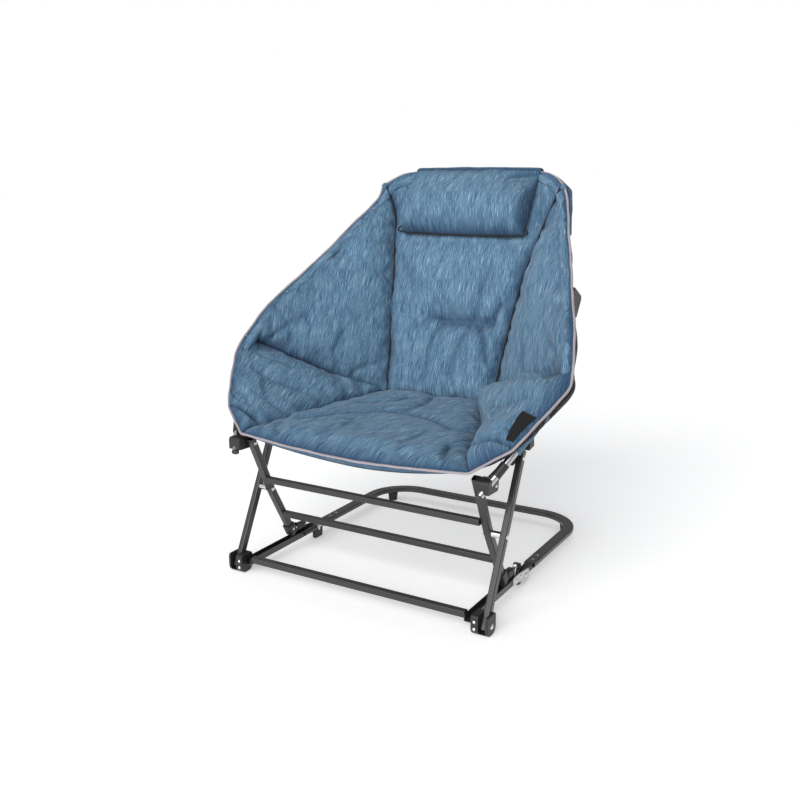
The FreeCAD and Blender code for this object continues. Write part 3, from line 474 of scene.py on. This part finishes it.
BLUE_CLOTH = cloth_material(
    "blue_heather_cloth",
    [(0.0, (0.010, 0.036, 0.086)), (0.36, (0.054, 0.126, 0.212)),
     (0.62, (0.122, 0.228, 0.328)), (1.0, (0.330, 0.460, 0.550))],
    (0.100, 0.130, 0.220), 0.75)
BLACK_CLOTH = cloth_material(
    "black_backing_cloth",
    [(0.0, (0.006, 0.006, 0.008)), (0.5, (0.014, 0.015, 0.018)), (1.0, (0.045, 0.047, 0.055))],
    (0.02, 0.02, 0.024), 0.35)
PIPING_CLOTH = cloth_material(
    "grey_piping_cloth",
    [(0.0, (0.18, 0.16, 0.17)), (0.45, (0.31, 0.28, 0.30)), (1.0, (0.48, 0.45, 0.48))],
    (0.36, 0.28, 0.28), 0.4, 1.6)
LABEL_CLOTH = cloth_material(
    "black_label_satin",
    [(0.0, (0.006, 0.006, 0.007)), (0.5, (0.010, 0.010, 0.012)), (1.0, (0.022, 0.022, 0.026))],
    (0.012, 0.012, 0.014), 0.25)
POWDER_COAT = coated_material("black_powder_coat", (0.020, 0.0185, 0.018), (0.13, 0.12, 0.115),
                              0.40)
LOOP_COAT = coated_material("floor_loop_coat", (0.026, 0.0235, 0.0225), (0.17, 0.155, 0.15),
                            0.36, 0.7, 0.14)
HOOP_COAT = metal_material("hoop_tube_steel", (0.55, 0.55, 0.57), 0.26, 300.0)
ZINC = metal_material("zinc_plate", (0.66, 0.66, 0.67), 0.36, 500.0)
BRIGHT = metal_material("bright_plating", (0.80, 0.80, 0.81), 0.2, 400.0)
PLASTIC = moulded_material("black_moulded_plastic", (0.014, 0.014, 0.015), 0.46, 1500.0, 0.35)
RUBBER = moulded_material("foot_rubber", (0.016, 0.016, 0.017), 0.82, 800.0, 0.5)

FINISHES = {"black_steel": POWDER_COAT, "loop_steel": LOOP_COAT, "hoop_tube": HOOP_COAT,
            "zinc_plate": ZINC, "bright_steel": BRIGHT, "black_plastic": PLASTIC,
            "foot_rubber": RUBBER, "blue_fabric": BLUE_CLOTH}
slot_of = {row["node"]: row["material_slot"] for row in frame["record"]["subparts"]}
for node, obj in frame["nodes"].items():
    obj.data.materials.clear()
    obj.data.materials.append(FINISHES[slot_of[node]])

# ------------------------------------------------------------------ the bucket's lines

SITTER = at(0, 150, 620)
SEAT_CORNER = (294, -15, 351)
FLAP_CORNER = (366, 29, 399)
SEAM_FOOT = (150, 401, 370)
WING_TIP_IN = (245, 562, 902)
WING_TIP_OUT = (253, 556, 904)
TOP_CORNER = (249, 561, 908)
SEAT_SEAM = [SEAT_CORNER, (266, 60, 353), (243, 122, 357), (216, 208, 362), (186, 300, 366),
             SEAM_FOOT]
BACK_SEAM = [SEAM_FOOT, (164, 442, 520), (183, 490, 671), (199, 524, 752), (217, 556, 829),
             WING_TIP_IN]
ARM_EDGE = [FLAP_CORNER, (393, 70, 438), (420, 118, 482), (436, 153, 512), (431, 178, 541)]
ARM_CREASE = [SEAM_FOOT, (228, 354, 404), (318, 297, 452), (398, 236, 504), (431, 178, 541)]
WING_EDGE = [(431, 178, 541), (407, 243, 611), (368, 327, 678), (334, 402, 738),
             (303, 465, 797), (267, 544, 866), WING_TIP_OUT]
SEAT_BACK = [(-150, 401, 370), (0, 404, 371), (150, 401, 370)]
TOP_EDGE = [TOP_CORNER, (216, 586, 929), (176, 600, 938), (90, 606, 940), (0, 607, 940)]


def across(half):
    """A line across the chair from its right half."""
    return smooth_line(np.vstack([points(*half, side=-1), points(*half[:-1][::-1])]))


SEAT_FRONT = smooth_line(points((-294, -15, 351), (-200, -21, 346), (-90, -25, 341),
                                (30, -26, 338), (130, -25, 341), (215, -21, 346),
                                (294, -15, 351)))

# ------------------------------------------------------------------ pads

class Crease:
    """A line pulled in on a pad, in the pad's own (u, v), with its depth and width in mm."""

    def __init__(self, line, depth, width, pinned=False):
        self.line, self.depth, self.width, self.pinned = line, depth, width, pinned


def crown(distance, width):
    """Rises steeply from a seam and levels out at the given distance."""
    t = np.clip(distance / width, 0, 1)
    return np.sqrt(1 - (1 - t) ** 2)


def segment_distance(p, a, b):
    """Distance from each point to the straight run from a to b."""
    ab = b - a
    t = np.clip(((p - a) @ ab) / max(ab @ ab, 1e-12), 0, 1)
    return np.linalg.norm(p - (a + t[:, None] * ab), axis=1)


def line_distance(p, line):
    return np.min([segment_distance(p, line[k], line[k + 1]) for k in range(len(line) - 1)], 0)


# Reach of the painted shade from seams and from creases, reach of a pinned crease's hold, and the
# crease depth in mm that gets full painted shade.
SEAM_SHADE_REACH, CREASE_SHADE_REACH, PIN_REACH = 0.014, 0.009, 0.006
FULL_SHADE_DEPTH = 14
HALF_SEAM = 0.0015
STUFFING_PRESSURE, CLOTH_FRAMES = 3.0, 20


class Pad:
    """A stuffed panel between four seams: front and back cloth, closed round its edge."""

    def __init__(self, name, surface, cells, front, rear, width=0.04, creases=(), turn=0.0,
                 lumps=0.0015, seed=1, shape=None):
        self.surface = surface
        bm = bmesh.new()
        u_layer = bm.verts.layers.float.new("u")
        v_layer = bm.verts.layers.float.new("v")
        side_layer = bm.verts.layers.float.new("side")
        painted_shade_layer = bm.verts.layers.float.new("painted_shade")
        bmesh.ops.create_grid(bm, x_segments=cells[0], y_segments=cells[1], size=0.5)
        low = Vector((min(v.co.x for v in bm.verts), min(v.co.y for v in bm.verts), 0))
        high = Vector((max(v.co.x for v in bm.verts), max(v.co.y for v in bm.verts), 0))
        for v in bm.verts:
            v[u_layer] = (v.co.x - low.x) / (high.x - low.x)
            v[v_layer] = (v.co.y - low.y) / (high.y - low.y)
        back_faces = list(bm.faces)
        made = bmesh.ops.extrude_face_region(bm, geom=back_faces, use_keep_orig=True)["geom"]
        for g in made:
            if isinstance(g, bmesh.types.BMVert):
                g[side_layer] = 1.0
        bm.verts.ensure_lookup_table()
        u = np.array([v[u_layer] for v in bm.verts])
        v_ = np.array([v[v_layer] for v in bm.verts])
        face_side = np.array([v[side_layer] for v in bm.verts]) > 0.5
        base, normal = surface.place(u, v_), surface.normal(u, v_)
        inner, outer, low_d, high_d = surface.edge_distances(u, v_)
        rise = crown(inner, width) * crown(outer, width) * crown(low_d, width) * crown(high_d, width)
        edge = np.minimum.reduce([inner, outer, low_d, high_d])
        self.pinned = edge < 1e-5
        thick = front if shape is None else front * shape(u, v_)
        height = np.where(face_side, HALF_SEAM + thick * rise, -HALF_SEAM - rear * rise)
        bumps = np.array([noise.noise(Vector(p) * 16 + Vector((seed * 3.3, 0, 0)))
                          + 0.5 * noise.noise(Vector(p) * 38 + Vector((0, seed * 2.1, 0)))
                          for p in base])
        height = height + np.where(face_side, lumps * bumps * rise * 2, 0)
        # Painted shade: a darkness value strongest at the seams and along each crease by its depth;
        # the cloth material darkens with it.
        painted_shade = np.exp(-edge / SEAM_SHADE_REACH)
        for crease in creases:
            line = surface.place(np.array([q[0] for q in crease.line], float),
                                 np.array([q[1] for q in crease.line], float))
            distance = line_distance(base, line)
            pull = crease.depth / 1000 * np.exp(-distance / (crease.width / 1000))
            height = np.where(face_side, np.maximum(height - pull * rise, 0.001), height)
            depth = min(1.0, crease.depth / FULL_SHADE_DEPTH)
            painted_shade = np.maximum(painted_shade, depth * np.exp(-distance / CREASE_SHADE_REACH))
            if crease.pinned:
                self.pinned |= face_side & (distance < PIN_REACH)
        start = base + normal * height[:, None]
        for vert, p, g in zip(bm.verts, start, painted_shade):
            vert.co = Vector(p)
            vert[painted_shade_layer] = g
        for face in bm.faces:
            sides = {v[side_layer] > 0.5 for v in face.verts}
            face.material_index = 1 if sides == {False} else 0
        bmesh.ops.recalc_face_normals(bm, faces=bm.faces)
        lay_weave(bm, self.weave_map(turn))
        self.start, self.face_side = start, face_side
        self.obj = link(name, bm, [BLUE_CLOTH, BLACK_CLOTH])

    def weave_map(self, turn):
        """The weave runs up the panel's own middle, turned by some degrees."""
        foot, middle, head = np.array([0.0]), np.array([0.5]), np.array([1.0])
        centre = self.surface.place(middle, middle)[0]
        n = self.surface.normal(middle, middle)[0]
        up = self.surface.place(middle, head)[0] - self.surface.place(middle, foot)[0]
        up = up - n * (up @ n)
        up /= np.linalg.norm(up)
        side = np.cross(up, n)
        c, s = math.cos(math.radians(turn)), math.sin(math.radians(turn))
        across_way, up_way = Vector(side * c + up * s), Vector(up * c - side * s)
        centre = Vector(centre)
        return lambda v: ((v.co - centre).dot(across_way), (v.co - centre).dot(up_way))

    def attach_cloth(self, spare):
        """Cloth that is held at its seams and blown up by the stuffing."""
        pins = self.obj.vertex_groups.new(name="pins")
        pins.add([int(k) for k in np.nonzero(self.pinned)[0]], 1.0, "REPLACE")
        mod = self.obj.modifiers.new("stuffing", "CLOTH")
        s = mod.settings
        s.vertex_group_mass = "pins"
        s.quality = 6
        s.mass = 0.25
        s.tension_stiffness = s.compression_stiffness = 12
        s.shear_stiffness = 4
        s.bending_stiffness = 0.4
        s.use_pressure = True
        s.uniform_pressure_force = STUFFING_PRESSURE
        s.shrink_min = -spare
        s.effector_weights.gravity = 0
        mod.point_cache.frame_start, mod.point_cache.frame_end = 1, CLOTH_FRAMES

    def settle(self, front_cap, rear_cap):
        """Takes the simulated cloth, held to a limited travel, as the pad's own mesh."""
        evaluated = self.obj.evaluated_get(bpy.context.evaluated_depsgraph_get())
        moved = coords(evaluated.data) - self.start
        self.obj.modifiers.clear()
        size = np.linalg.norm(moved, axis=1)
        cap = np.where(self.face_side, front_cap, rear_cap)
        keep = cap * np.tanh(size / cap) / np.maximum(size, 1e-9)
        final = self.start + moved * keep[:, None]
        self.obj.data.vertices.foreach_set("co", final.astype(np.float32).ravel())
        self.obj.data.update()


def run_cloth(pads):
    """Settles every pad: each row has the pad, its spare cloth and its travel each way."""
    scene = bpy.context.scene
    for pad, spare, _, _ in pads:
        pad.attach_cloth(spare)
    for number in range(1, CLOTH_FRAMES + 1):
        scene.frame_set(number)
    for pad, _, front_cap, rear_cap in pads:
        pad.settle(front_cap, rear_cap)
    scene.frame_set(1)


def line_of(rows, side=1):
    return smooth_line(points(*rows, side=side))


pads = []

seat_surface = Surface(SEAT_FRONT, line_of(SEAT_BACK),
                       line_of(SEAT_SEAM, -1), line_of(SEAT_SEAM), SITTER)
seat_pad = Pad("seat_pad", seat_surface, (84, 62), 0.024, 0.010, 0.05, [
    Crease([(0.14, 0.22), (0.25, 0.40), (0.40, 0.52), (0.50, 0.55)], 12, 6.5),
    Crease([(0.50, 0.55), (0.56, 0.72), (0.53, 0.88)], 11, 7.2),
    Crease([(0.58, 0.55), (0.74, 0.50), (0.86, 0.40)], 11, 7.9),
    Crease([(0.33, 0.10), (0.37, 0.24), (0.36, 0.34)], 7, 5.8),
    Crease([(0.90, 0.04), (0.905, 0.18)], 16, 5.8),
    Crease([(0.70, 0.12), (0.76, 0.30)], 7, 6.5),
    Crease([(0.20, 0.60), (0.34, 0.70), (0.44, 0.84)], 8, 7.2)], turn=-24, seed=1)
pads.append((seat_pad, 0.05, 0.012, 0.004))

back_surface = Surface(line_of(SEAT_BACK),
                       across(TOP_EDGE),
                       line_of(BACK_SEAM + [TOP_CORNER], -1), line_of(BACK_SEAM + [TOP_CORNER]),
                       SITTER)


def back_shape(u, v):
    """Full where it carries the back, and thin behind the headrest."""
    return 0.38 + 0.62 / (1 + np.exp((v - 0.68) / 0.035))


back_pad = Pad("back_pad", back_surface, (64, 84), 0.026, 0.012, 0.045, [
    Crease([(0.36, 0.350), (0.52, 0.340)], 16, 7.9),
    Crease([(0.48, 0.340), (0.70, 0.336), (0.84, 0.345)], 42, 9, True),
    Crease([(0.74, 0.338), (0.82, 0.27), (0.90, 0.19)], 16, 5.8),
    Crease([(0.84, 0.345), (0.90, 0.43)], 11, 5.8),
    Crease([(0.72, 0.340), (0.71, 0.45), (0.74, 0.55)], 8, 6.5),
    Crease([(0.70, 0.338), (0.64, 0.23), (0.60, 0.12)], 9, 7.2),
    Crease([(0.46, 0.342), (0.40, 0.22), (0.38, 0.09)], 8, 7.9),
    Crease([(0.10, 0.60), (0.17, 0.52), (0.20, 0.47)], 9, 5.8),
    Crease([(0.36, 0.350), (0.26, 0.29)], 7, 6.5)], turn=0, seed=2, shape=back_shape)
pads.append((back_pad, 0.05, 0.013, 0.005))

def ease(x, start, end):
    t = np.clip((x - start) / (end - start), 0, 1)
    return t * t * (3 - 2 * t)


def wing_shape(u, v):
    """Lies flat beside the back seam and fills out towards the hoop."""
    return 0.30 + 0.70 * ease(u, 0.0, 0.45)


def arm_shape(u, v):
    """Rolls up fullest just under its crease with the wing."""
    return (0.50 + 0.50 * ease(v, 0.40, 0.80)) * (1.0 - 0.45 * ease(u, 0.60, 1.0))


ARM_FILL = {"left": 0.033, "right": 0.076}
wing_pads, arm_pads = {}, {}
for word, side in (("left", -1), ("right", 1)):
    wing_surface = Surface(line_of(ARM_CREASE, side),
                           line_of([WING_TIP_IN, WING_TIP_OUT], side),
                           line_of(BACK_SEAM, side), line_of(WING_EDGE, side), SITTER)
    wing_creases = [Crease([(0.86, 0.02), (0.80, 0.12), (0.70, 0.20)], 8, 7.2),
                    Crease([(0.35, 0.02), (0.42, 0.10), (0.40, 0.20)], 8, 7.2),
                    Crease([(0.98, 0.30), (0.80, 0.34)], 5, 5),
                    Crease([(0.98, 0.42), (0.84, 0.47)], 5, 5)]
    wing_pads[word] = Pad("wing_pad_" + word, wing_surface, (60, 84), 0.024, 0.009, 0.045,
                          wing_creases, turn=-8 * side, seed=3 + side, shape=wing_shape)
    pads.append((wing_pads[word], 0.05, 0.012, 0.004))
    arm_surface = Surface(line_of([SEAT_CORNER, FLAP_CORNER], side),
                          line_of(ARM_CREASE, side),
                          line_of(SEAT_SEAM, side), line_of(ARM_EDGE, side), SITTER)
    arm_creases = [Crease([(0.02, 0.13), (0.5, 0.10), (0.98, 0.03)], 18, 5.8, side > 0),
                   Crease([(0.30, 0.55), (0.55, 0.52), (0.80, 0.56)], 7, 6.5),
                   Crease([(0.45, 0.34), (0.60, 0.42), (0.66, 0.52)], 5, 5),
                   Crease([(0.55, 0.74), (0.72, 0.72), (0.82, 0.75)], 5, 4.3)]
    arm_pads[word] = Pad("arm_pad_" + word, arm_surface, (52, 62), ARM_FILL[word], 0.009, 0.030,
                         arm_creases, turn=-18 * side, seed=7 + side, shape=arm_shape)
    pads.append((arm_pads[word], 0.05, 0.013, 0.004))

PILLOW_FOOT = [(-171, 509, 788), (0, 515, 786), (171, 509, 788)]
PILLOW_HEAD = [(-176, 598, 943), (0, 603, 945), (176, 598, 943)]
PILLOW_SIDE = [(171, 509, 788), (174, 553, 866), (176, 598, 943)]
pillow_surface = Surface(line_of(PILLOW_FOOT), line_of(PILLOW_HEAD),
                         line_of(PILLOW_SIDE, -1), line_of(PILLOW_SIDE), at(0, 0, 900))


def pillow_shape(u, v):
    """Full and round low down, thin where it folds over the top rail."""
    return 0.20 + 0.80 * np.exp(-((v - 0.36) / 0.36) ** 2)


pillow_pad = Pad("headrest_pad", pillow_surface, (72, 40), 0.046, 0.002, 0.020, [
    Crease([(0.80, 0.86), (0.90, 0.90), (0.995, 0.93)], 14, 6, True),
    Crease([(0.82, 0.72), (0.92, 0.80), (0.98, 0.86)], 7, 7),
    Crease([(0.04, 0.60), (0.08, 0.40), (0.07, 0.22)], 5, 8)],
    turn=0, seed=11, shape=pillow_shape)
pads.append((pillow_pad, 0.04, 0.010, 0.001))

run_cloth(pads)
for pad, *_ in pads:
    subdivide(pad.obj)

for pad, body in [(seat_pad, "bucket"), (back_pad, "bucket"), (pillow_pad, "pillow")] + [
        (p, "bucket") for p in [*wing_pads.values(), *arm_pads.values()]]:
    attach(pad.obj, body)
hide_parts("seat_cushion")
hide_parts("back_cushion")
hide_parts("headrest_pillow")
for word in ("left", "right"):
    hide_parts("wing_cushion_" + word)
    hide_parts("arm_cushion_" + word)


def sewn(obj, body="bucket"):
    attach(obj, body)
    return obj


# ------------------------------------------------------------------ piping, and dark seam cords as painted shadow

def outward(line, centre, distance):
    """Moves a line away from a centre point, square to itself."""
    tangents = np.gradient(line, axis=0)
    tangents /= np.linalg.norm(tangents, axis=1)[:, None]
    away = line - centre
    away -= tangents * np.sum(away * tangents, axis=1)[:, None]
    away /= np.linalg.norm(away, axis=1)[:, None]
    return line + away * distance


right_rim = np.vstack([smooth_line(points(SEAT_CORNER, FLAP_CORNER), 20), line_of(ARM_EDGE)[1:],
                       line_of(WING_EDGE)[1:], line_of([WING_TIP_OUT, TOP_CORNER])[1:],
                       line_of(TOP_EDGE)[1:]])
left_rim = right_rim[::-1] * MIRROR
rim = even(np.vstack([SEAT_FRONT, right_rim[1:], left_rim[1:-1]]), 700)
for _ in range(3):
    rim = 0.5 * rim + 0.25 * (np.roll(rim, 1, 0) + np.roll(rim, -1, 0))
ripple = np.array([[noise.noise(Vector(p) * 24), noise.noise(Vector(p) * 24 + Vector((9, 0, 0))),
                    noise.noise(Vector(p) * 24 + Vector((0, 9, 0)))] for p in rim])
piping_line = outward(rim, at(0, 230, 600), 0.0015) + ripple * 0.0016
sewn(tube("edge_piping", piping_line, 0.0028, PIPING_CLOTH, 12, True, 0.0006, 2))

# The dark cords in the arm seams, painted shadow, stop short of the hoop.
ARM_SEAM_POINTS = 184
# Black cords sunk into the back, seat and arm seam grooves are painted shadow, standing in for the
# shade between the pads.
for word, side in (("left", -1), ("right", 1)):
    sewn(tube("back_seam_shadow_" + word, outward(line_of(BACK_SEAM, side), SITTER, -0.0060), 0.0030,
              BLACK_CLOTH, 8))
    sewn(tube("seat_seam_shadow_" + word, outward(line_of(SEAT_SEAM, side), SITTER, -0.0025), 0.0018,
              BLACK_CLOTH, 8))
    arm_seam = outward(line_of(ARM_CREASE, side)[:ARM_SEAM_POINTS], SITTER, -0.0015)
    sewn(tube("arm_seam_shadow_" + word, arm_seam, 0.0016, BLACK_CLOTH, 8))
    tip = line_of([WING_TIP_IN, WING_TIP_OUT, TOP_CORNER], side)
    sewn(tube("wing_tip_" + word, tip, 0.0055, BLUE_CLOTH, 10))
# A black cord along the headrest's lower edge is painted shadow under the pillow.
pillow_edge = line_of([(-172, 520, 808), (-168, 508, 789), (0, 514, 785), (168, 508, 789),
                       (172, 520, 808)])
sewn(tube("headrest_edge_shadow", pillow_edge, 0.0022, BLACK_CLOTH, 8), "pillow")

# ------------------------------------------------------------------ sleeve round the hoop

TUBE_FOOT, ARM_BEND, ARM_UP = (325, 2, 321), (424, 158, 503), (395, 246, 603)
SHOULDER, BACK_SIDE, BACK_TOP = (356, 330, 668), (292, 466, 787), (255, 548, 858)
HOOP_CORNER, TOP_RAIL = (236, 568, 896), (166, 604, 929)
foot, bend = at(*TUBE_FOOT), at(*ARM_BEND)
SLEEVE_START, HEM_STATIONS = 0.37, (0.362, 0.368, 0.374, 0.380)
sleeve_start = foot + (bend - foot) * SLEEVE_START
half = [(sleeve_start, 0), (bend, 0.016), (at(*ARM_UP), 0.160), (at(*SHOULDER), 0.200),
        (at(*BACK_SIDE), 0.200), (at(*BACK_TOP), 0.060), (at(*HOOP_CORNER), 0.040),
        (at(*TOP_RAIL), 0.060)]
whole = half + [(p * MIRROR, r) for p, r in half[::-1]]
sleeve = tube("hoop_sleeve", rounded_path(whole, 0.005), 0.0112, BLUE_CLOTH, 20, False, 0.0009, 5,
              cap=False)
sleeve_walls = sleeve.modifiers.new("cloth", "SOLIDIFY")
sleeve_walls.thickness, sleeve_walls.offset = 0.0012, -1
sewn(sleeve)
for word, side in (("left", -1), ("right", 1)):
    ends = np.array([foot + (bend - foot) * t for t in HEM_STATIONS])
    sewn(tube("sleeve_hem_" + word, ends * np.array([side, 1, 1]), 0.0121, BLUE_CLOTH, 20))

# ------------------------------------------------------------------ thin cloth parts

def thin_cloth(name, surface, cells, thick, width=0.012, turn=0.0, lumps=0.0008, seed=1):
    pad = Pad(name, surface, cells, thick, 0.0005, width, (), turn, lumps, seed)
    subdivide(pad.obj)
    return sewn(pad.obj)


VALANCE = [(-288, -13, 351), (-200, -15, 337), (-90, -17, 327), (30, -17, 322), (130, -16, 327),
           (215, -14, 338), (288, -13, 351)]
valance_line = smooth_line(points(*VALANCE))
valance_surface = Surface(SEAT_FRONT, valance_line,
                          np.linspace(SEAT_FRONT[0], valance_line[0], 20),
                          np.linspace(SEAT_FRONT[-1], valance_line[-1], 20), at(0, -600, 340))
thin_cloth("seat_front_fold", valance_surface, (90, 5), 0.002, turn=80)
sewn(tube("seat_front_binding", valance_line, 0.0021, BLACK_CLOTH, 8))

HOOD_FOOT = [(-284, 496, 792), (-245, 536, 790), (-200, 572, 788), (-100, 578, 786),
             (0, 580, 786), (100, 578, 786), (200, 572, 788), (245, 536, 790), (284, 496, 792)]
HOOD_HEAD = [(-246, 574, 900), (-236, 590, 918), (-200, 606, 930), (-100, 612, 914),
             (0, 613, 912), (100, 612, 914), (200, 606, 930), (236, 590, 918), (246, 574, 900)]
HOOD_SIDE = [(284, 496, 792), (270, 526, 830), (258, 552, 868), (246, 574, 900)]
hood_surface = Surface(line_of(HOOD_FOOT), line_of(HOOD_HEAD), line_of(HOOD_SIDE, -1),
                       line_of(HOOD_SIDE), at(0, 1200, 850))
thin_cloth("rear_pocket", hood_surface, (80, 24), 0.023, seed=4)
hood_rim = np.vstack([line_of(HOOD_SIDE, -1)[::-1], line_of(HOOD_FOOT)[1:], line_of(HOOD_SIDE)[1:]])
sewn(tube("rear_pocket_binding", even(hood_rim, 300), 0.0024, BLACK_CLOTH, 8))

flap_high = line_of([(-170, 626, 874), (0, 630, 872), (170, 626, 874)])
flap_side = line_of([(176, 598, 943), (176, 606, 947), (175, 618, 944), (174, 628, 930),
                     (172, 630, 905), (170, 626, 874)])
flap_surface = Surface(line_of(PILLOW_HEAD), flap_high, flap_side * MIRROR, flap_side,
                       at(0, 1200, 1300))
thin_cloth("headrest_flap", flap_surface, (60, 20), 0.0022, 0.008, 0, 0.0006, 9)

# ------------------------------------------------------------------ label on the arm

arm = arm_pads["right"]
depsgraph = bpy.context.evaluated_depsgraph_get()
arm_tree = BVHTree.FromObject(arm.obj, depsgraph)
LABEL_ACROSS, LABEL_ALONG = (0.870, 0.985), (0.060, 0.385)


def label_spot(a, b):
    """Where a point of the label lies on the arm's own surface."""
    u = LABEL_ACROSS[0] + a * (LABEL_ACROSS[1] - LABEL_ACROSS[0])
    v = LABEL_ALONG[0] + b * (LABEL_ALONG[1] - LABEL_ALONG[0])
    return arm.surface.place(u, v), arm.surface.normal(u, v)


def bend_terms(a, b):
    """The terms of a smooth sheet that may bend both ways."""
    return np.stack([np.ones_like(a), a, a * a, b, b * b, a * b], -1)


grid_a, grid_b = [g.ravel() for g in np.meshgrid(np.linspace(0, 1, 5), np.linspace(0, 1, 11))]
base, normal = label_spot(grid_a, grid_b)
CAST_FROM, LABEL_GAP = 0.08, 0.0008
found = [arm_tree.ray_cast(Vector(p + n * CAST_FROM), Vector(-n))[0] for p, n in zip(base, normal)]
proud = np.sum((np.array(found) - base) * normal, axis=1)
bend = np.linalg.lstsq(bend_terms(grid_a, grid_b), proud, rcond=None)[0]
gap = np.max(proud - bend_terms(grid_a, grid_b) @ bend) + LABEL_GAP
bm = bmesh.new()
bmesh.ops.create_grid(bm, x_segments=8, y_segments=20, size=0.5)
for v in bm.verts:
    a, b = np.array([v.co.x + 0.5]), np.array([v.co.y + 0.5])
    base, normal = label_spot(a, b)
    v.co = Vector(base[0] + normal[0] * (float(bend_terms(a, b)[0] @ bend) + gap))
bmesh.ops.recalc_face_normals(bm, faces=bm.faces)
lay_weave(bm, lambda v: (v.co.x, v.co.z))
label = link("arm_label", bm, [LABEL_CLOTH])
label_body = label.modifiers.new("cloth", "SOLIDIFY")
label_body.thickness, label_body.offset = 0.0009, 0
sewn(label)

# ------------------------------------------------------------------ floor, light, camera

FLOOR_GLOW, AMBIENT, KEY_POWER, KEY_SPREAD = 0.34, 0.33, 2.9, 55
CAMERA_PLACE, CAMERA_TURN, CAMERA_LIFT = (1.091, -1.97775, 0.937), 30.39, 13.49
FILM_WIDTH, FOCAL_LENGTH = 36.0, 42.57

bpy.ops.mesh.primitive_plane_add(size=60, location=(0, 0, -0.0002))
floor = bpy.context.object
floor.name = "floor"
floor_material, _, floor_shader = start_material("pale_floor", Roughness=0.75)
floor_shader.inputs["Base Color"].default_value = (0.95, 0.95, 0.95, 1)
floor_shader.inputs["Emission Color"].default_value = (1, 1, 1, 1)
floor_shader.inputs["Emission Strength"].default_value = FLOOR_GLOW
floor.data.materials.append(floor_material)

world = bpy.data.worlds.new("studio")
bpy.context.scene.world = world
world.use_nodes = True
tree = world.node_tree
ambient = tree.nodes["Background"]
ambient.inputs[0].default_value = (0.95, 0.97, 1.0, 1)
ambient.inputs[1].default_value = AMBIENT
backdrop = tree.nodes.new("ShaderNodeBackground")
backdrop.inputs[0].default_value = (1.0, 1.0, 1.0, 1)
backdrop.inputs[1].default_value = 1.0
seen = tree.nodes.new("ShaderNodeLightPath")
either = tree.nodes.new("ShaderNodeMixShader")
tree.links.new(seen.outputs["Is Camera Ray"], either.inputs[0])
tree.links.new(ambient.outputs[0], either.inputs[1])
tree.links.new(backdrop.outputs[0], either.inputs[2])
tree.links.new(either.outputs[0], tree.nodes["World Output"].inputs[0])


def area_light(name, place, target, size, power):
    data = bpy.data.lights.new(name, "AREA")
    data.shape = "SQUARE"
    data.size, data.energy = size, power
    lamp = bpy.data.objects.new(name, data)
    lamp.location = place
    lamp.rotation_mode = "QUATERNION"
    lamp.rotation_quaternion = (Vector(place) - Vector(target)).to_track_quat("Z", "Y")
    bpy.context.scene.collection.objects.link(lamp)


sun_data = bpy.data.lights.new("key", "SUN")
sun_data.energy, sun_data.angle = KEY_POWER, math.radians(KEY_SPREAD)
sun = bpy.data.objects.new("key", sun_data)
sun.rotation_mode = "QUATERNION"
sun.rotation_quaternion = Vector((0.10, -2.0, 1.05)).to_track_quat("Z", "Y")
bpy.context.scene.collection.objects.link(sun)
area_light("fill", (-2.4, -1.6, 1.6), (0, 0, 0.5), 2.0, 6)
area_light("top", (0.0, 0.6, 3.0), (0, 0, 0.5), 1.6, 5)

camera_data = bpy.data.cameras.new("camera")
camera_data.sensor_width, camera_data.lens = FILM_WIDTH, FOCAL_LENGTH
camera = bpy.data.objects.new("camera", camera_data)
bpy.context.scene.collection.objects.link(camera)
turn, lift = math.radians(CAMERA_TURN), math.radians(CAMERA_LIFT)
behind = Vector((math.sin(turn) * math.cos(lift), -math.cos(turn) * math.cos(lift),
                 math.sin(lift)))
camera.location = CAMERA_PLACE
camera.rotation_mode = "QUATERNION"
camera.rotation_quaternion = (-behind).to_track_quat("-Z", "Y")
bpy.context.scene.camera = camera
bpy.context.scene.view_settings.view_transform = "Standard"
